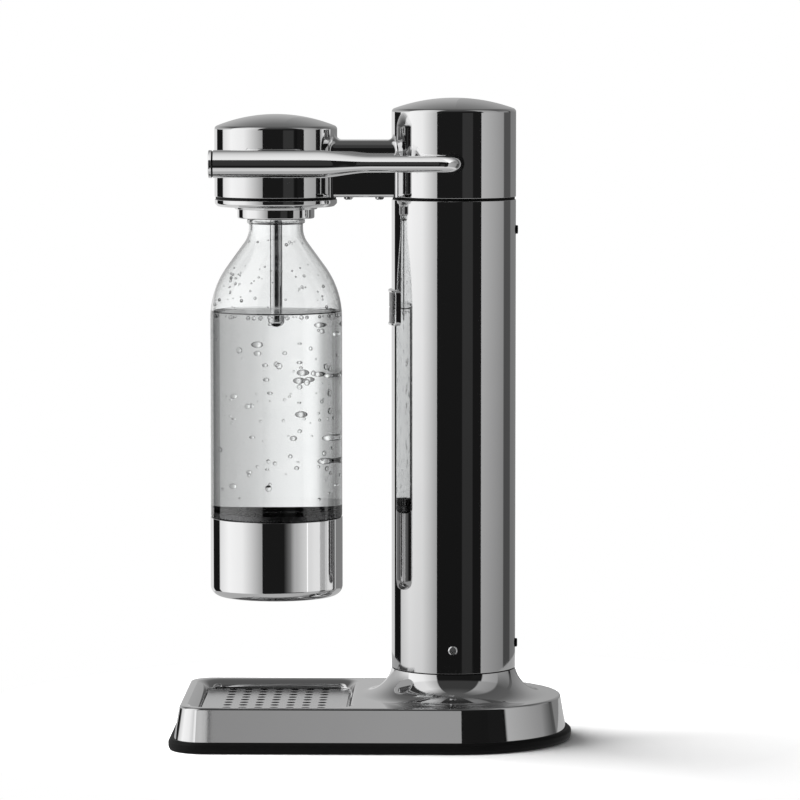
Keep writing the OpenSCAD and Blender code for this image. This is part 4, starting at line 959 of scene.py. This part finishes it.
# %% Backdrop for camera and clear parts
ray = wn.new("ShaderNodeLightPath")
wall = ramp(azimuth, [
    (-180, 0.98), (-176, 1.06), (-168, 1.16), (-160.5, 1.10), (-158, 1.02), (-156, 0.85),
    (-153, 0.63), (-150, 0.4), (-146, 0.33), (-142, 0.27), (-136, 0.15), (-127, 0.3), (-114, 0.85),
    (-60, 0.95), (-24, 0.4), (-22, 0.02), (51, 0.02), (52, 0.45), (97, 0.3), (122, 0.24),
    (133, 0.25), (140, 0.32), (149, 0.40), (155, 0.45), (160, 0.48), (164, 0.54), (167, 0.58),
    (170, 0.63), (173, 0.70), (176, 0.80), (180, 0.96)])
before_mirrors = value("LESS_THAN", ray.outputs["Glossy Depth"], 0.5)
through_clear = value("MULTIPLY", ray.outputs["Is Transmission Ray"], before_mirrors)
seen = blend_of(painted, wall, through_clear)
white = wn.new("ShaderNodeRGB")
white.outputs[0].default_value = (1, 1, 1, 1)
shown = blend_of(seen, white.outputs[0], ray.outputs["Is Camera Ray"])
wl.new(shown, wn["Background"].inputs["Color"])
print("world nodes:", len(wn))

# %% [markdown]
# ## Floor and lights
#
# The floor is a pale disc that ends a third of a metre away, so upright walls mirror the studio
# and not the floor. Near the machine it is a matt surface that takes the shadow. Further out,
# camera rays see it as plain white. Mirror rays see it in mid grey, so that the steel's lower edges
# stay visible against the white.

# %% Floor
FLOOR_R, FLOOR_STEPS = 0.36, 128
WHITE_FROM, WHITE_TO, MIRRORED_GREY = 0.24, 0.34, 0.5
floor_mesh = bpy.data.meshes.new("floor")
floor_mesh.from_pydata([(FLOOR_R * math.cos(a), FLOOR_R * math.sin(a), 0)
                        for a in full_turn(FLOOR_STEPS)], [], [tuple(range(FLOOR_STEPS))])
floor = bpy.data.objects.new("floor", floor_mesh)
floor.location = (0.05, 0.05, -0.0002)
bpy.context.scene.collection.objects.link(floor)
paper = surface("paper", grey(0.80), grey(0.82), 0.9, 1.0, 12)
floor_mesh.materials.append(paper)

# %% What camera and mirrors see of the floor
pn, pl = paper.node_tree.nodes, paper.node_tree.links
distance = pn.new("ShaderNodeVectorMath")
distance.operation = "LENGTH"
pl.new(pn["Texture Coordinate"].outputs["Object"], distance.inputs[0])
sight = pn.new("ShaderNodeLightPath")
white_share = pn.new("ShaderNodeMath")
white_share.operation = "MULTIPLY"
pl.new(map_range(paper.node_tree, distance.outputs["Value"], WHITE_FROM, WHITE_TO),
       white_share.inputs[0])
pl.new(sight.outputs["Is Camera Ray"], white_share.inputs[1])
mirrored = pn.new("ShaderNodeEmission")
mirrored.inputs["Color"].default_value = (*grey(MIRRORED_GREY), 1)


def paper_mix(factor, first, second):
    node = pn.new("ShaderNodeMixShader")
    for socket, source in zip(node.inputs, (factor, first, second)):
        pl.new(source, socket)
    return node.outputs[0]


lit_paper = paper_mix(white_share.outputs[0], pn["Principled BSDF"].outputs[0],
                      pn.new("ShaderNodeEmission").outputs[0])
shown_floor = paper_mix(sight.outputs["Is Glossy Ray"], lit_paper, mirrored.outputs[0])
pl.new(shown_floor, pn["Material Output"].inputs["Surface"])


# %% [markdown]
# The lamps only brighten the floor and the matt parts and throw the shadow. They are hidden from
# mirror rays, because the painted studio already gives the steel its reflections.

# %% Lamps
def lamp(name, place, target, size, power):
    data = bpy.data.lights.new(name, "AREA")
    data.shape = "DISK"
    data.size = size
    data.energy = power
    obj = bpy.data.objects.new(name, data)
    obj.location = place
    obj.rotation_euler = (Vector(target) - Vector(place)).to_track_quat("-Z", "Y").to_euler()
    obj.visible_glossy = False
    obj.visible_transmission = False
    bpy.context.scene.collection.objects.link(obj)


lamp("key", (-1.22, 0.34, 1.15), (0.05, 0, 0), 1.9, 108)
lamp("fill", (0.2, -0.6, 2.2), (0, 0, 0), 1.6, 5)

# %% [markdown]
# Cards stand round the machine as in a real studio, more than half a metre off, and only mirror
# rays see them. Two dark cards hide a part of the painted studio. They end the soft boxes, so head
# and column see those edges under different angles.

# %% Dark cards
def card(name, verts, faces, shader, place=(0, 0, 0)):
    mesh = bpy.data.meshes.new(name)
    mesh.from_pydata(verts, [], faces)
    mesh.materials.append(shader)
    obj = bpy.data.objects.new(name, mesh)
    obj.location = place
    bpy.context.scene.collection.objects.link(obj)
    for kind in ("camera", "diffuse", "transmission", "shadow", "volume_scatter"):
        setattr(obj, "visible_" + kind, False)
    return obj


def upright(y, left, right, low, high):
    return [(left, y, low), (right, y, low), (right, y, high), (left, y, high)], [(0, 1, 2, 3)]


def bare_material(name):
    """A material with nothing but its output."""
    mat = bpy.data.materials.new(name)
    mat.use_nodes = True
    mat.node_tree.nodes.remove(mat.node_tree.nodes["Principled BSDF"])
    return mat


BOX_LOW, BOX_HIGH = -0.10, 0.42
black_card = bare_material("black card")
faint = black_card.node_tree.nodes.new("ShaderNodeEmission")
faint.inputs["Strength"].default_value = 0.012
black_card.node_tree.links.new(
    faint.outputs[0], black_card.node_tree.nodes["Material Output"].inputs["Surface"])
card("left_box_end", *upright(-0.65, -0.318, -0.15, BOX_LOW, BOX_HIGH), black_card)
card("right_box_end", *upright(-0.56, 0.45, 0.765, BOX_LOW, BOX_HIGH), black_card)


# %% [markdown]
# Glow cards give single pieces a light of their own. *Light linking* names the pieces that may
# mirror a card; for all others it is fully transparent. The strength changes along one axis by a
# list of (place, level) stops. `first` is the share that a mirror shows and `later` the share in a
# mirror's mirror. That one is weaker, so the head does not show a bright copy of the lever.

# %% Glow cards
def glow(name, axis, stops, first=1, later=0.25):
    mat = bare_material(name)
    nodes, links = mat.node_tree.nodes, mat.node_tree.links
    start, end = stops[0][0], stops[-1][0]
    split = nodes.new("ShaderNodeSeparateXYZ")
    links.new(nodes.new("ShaderNodeTexCoord").outputs["Object"], split.inputs[0])
    levels = nodes.new("ShaderNodeValToRGB")
    shares = [((place - start) / (end - start), level) for place, level in stops]
    set_stops(levels.color_ramp, shares)
    links.new(map_range(mat.node_tree, split.outputs[axis], start, end), levels.inputs[0])
    depth = nodes.new("ShaderNodeLightPath").outputs["Ray Depth"]
    light = nodes.new("ShaderNodeEmission")
    links.new(levels.outputs[0], light.inputs["Color"])
    links.new(map_range(mat.node_tree, depth, 1, 2, first, later), light.inputs["Strength"])
    both_ways = nodes.new("ShaderNodeAddShader")
    links.new(light.outputs[0], both_ways.inputs[0])
    links.new(nodes.new("ShaderNodeBsdfTransparent").outputs[0], both_ways.inputs[1])
    links.new(both_ways.outputs[0], nodes["Material Output"].inputs["Surface"])
    return mat


def lit_for(screen, *pieces):
    group = bpy.data.collections.new("lit by " + screen.name)
    for obj in pieces:
        group.objects.link(obj)
    screen.light_linking.receiver_collection = group


# %% [markdown]
# The lever mirrors a wide curved screen above it, brightest in front and fading towards the back,
# and a dim grey one below that. The base's flat side is a plane mirror: it shows a grey screen
# and, left of it, the end of a brighter one.

# %% Screens for the lever
SCREEN_R, ARCH_STEPS, ARCH_HALF, ARCH_X = 0.6, 44, 1.2, -30
arch = arc(0, 0, SCREEN_R, 145, 35, ARCH_STEPS)
arch_verts = [(x, -y, z) for x in (-ARCH_HALF, ARCH_HALF) for y, z in arch]
arch_faces = [(k, k + 1, k + ARCH_STEPS + 2, k + ARCH_STEPS + 1) for k in range(ARCH_STEPS)]
arch_glow = glow("lever screen", "Y", [(-0.50, 0.98), (-0.34, 0.96), (-0.16, 0.82), (0.09, 0.62),
                                       (0.23, 0.40), (0.42, 0.1), (0.50, 0.02)])
lever_screen = card("lever_screen", arch_verts, arch_faces, arch_glow,
                    (ARCH_X * MM, SIDE_Y * MM, SHAFT_Z * MM))
lit_for(lever_screen, lever_bar, disc)
dim_screen = card("dim_screen", *upright(-1.05, -0.6, 0.2, 0.18, 1.0),
                  glow("dim screen", "Z", [(0.18, 0.028), (1.0, 0.034)]))
lit_for(dim_screen, lever_bar, disc)

# %% Screens for the base
SIDE_SCREEN_Y, SIDE_LOW, SIDE_HIGH = -0.62, 0.03, 0.26
GREY_LEFT, GREY_RIGHT, BRIGHT_LEFT, BRIGHT_RIGHT = -0.1366, 0.145, -0.60, -0.1385
grey_screen = card("grey_screen",
                   *upright(SIDE_SCREEN_Y, GREY_LEFT, GREY_RIGHT, SIDE_LOW, SIDE_HIGH),
                   glow("grey screen", "X", [(GREY_LEFT, 0.30), (0.0, 0.345), (GREY_RIGHT, 0.345)]))
lit_for(grey_screen, base_side)
bright_screen = card("bright_screen",
                     *upright(SIDE_SCREEN_Y, BRIGHT_LEFT, BRIGHT_RIGHT, SIDE_LOW, SIDE_HIGH),
                     glow("bright screen", "X", [(BRIGHT_LEFT, 0.2), (-0.4, 0.6), (-0.25, 0.62),
                                                 (BRIGHT_RIGHT, 0.58)]))
lit_for(bright_screen, base_side)


# %% [markdown]
# The bottle's cup mirrors a curved screen at its right. Its right edge shows the column, so two
# low screens, which only a mirror's mirror sees, lift the column there.

# %% Screens for the cup
def curved(axis_x, first_turn, last_turn, low, high, steps):
    """Part of an upright drum about an axis of the machine, turns in degrees."""
    turns = [math.radians(first_turn + (last_turn - first_turn) * k / steps)
             for k in range(steps + 1)]
    spots = [(axis_x * MM + SCREEN_R * math.sin(a), -SCREEN_R * math.cos(a)) for a in turns]
    faces = [(k + 1, k, k + steps + 1, k + steps + 2) for k in range(steps)]
    return [(x, y, z) for z in (low, high) for x, y in spots], faces


cup_glow = glow("cup screen", "X", [
    (0.1134, 0.0), (0.1304, 0.02), (0.200, 0.14), (0.2335, 0.32), (0.2657, 0.455), (0.3277, 0.574),
    (0.3839, 0.69), (0.4389, 0.80), (0.4423, 0.32), (0.4764, 0.37), (0.5018, 0.45), (0.5322, 0.5)])
cup_screen = card("cup_screen", *curved(HEAD_X, 16, 82, 0.0, 0.18, 28), cup_glow)
lit_for(cup_screen, cup)
LIFT_LOW, LIFT_HIGH = 0.002, 0.08
for name, first_turn, last_turn, level in (("column_front_screen", -35, 60, 0.75),
                                           ("column_left_screen", -125, -35, 0.32)):
    lift = glow(name, "Z", [(LIFT_LOW, level), (LIFT_HIGH, level)], first=0, later=1)
    screen = card(name, *curved(COL_X, first_turn, last_turn, LIFT_LOW, LIFT_HIGH, 20), lift)
    lit_for(screen, column)

# %% [markdown]
# ## Camera
#
# The camera stands almost three metres away with a long lens, which keeps the upright lines
# upright. It looks down a little, so that the drip grid shows.

# %% Camera
LENS_MM, SENSOR_MM, LOOK_DOWN, LOOK_LEFT = 202.54, 36, 4.739, 1.182
lens = bpy.data.cameras.new("camera")
lens.lens = LENS_MM
lens.sensor_width = SENSOR_MM
camera = bpy.data.objects.new("camera", lens)
camera.location = (0.07766, -2.89648, 0.45929)
camera.rotation_euler = (math.radians(90 - LOOK_DOWN), 0, math.radians(LOOK_LEFT))
bpy.context.scene.collection.objects.link(camera)
bpy.context.scene.camera = camera
bpy.context.scene.view_settings.view_transform = "Standard"
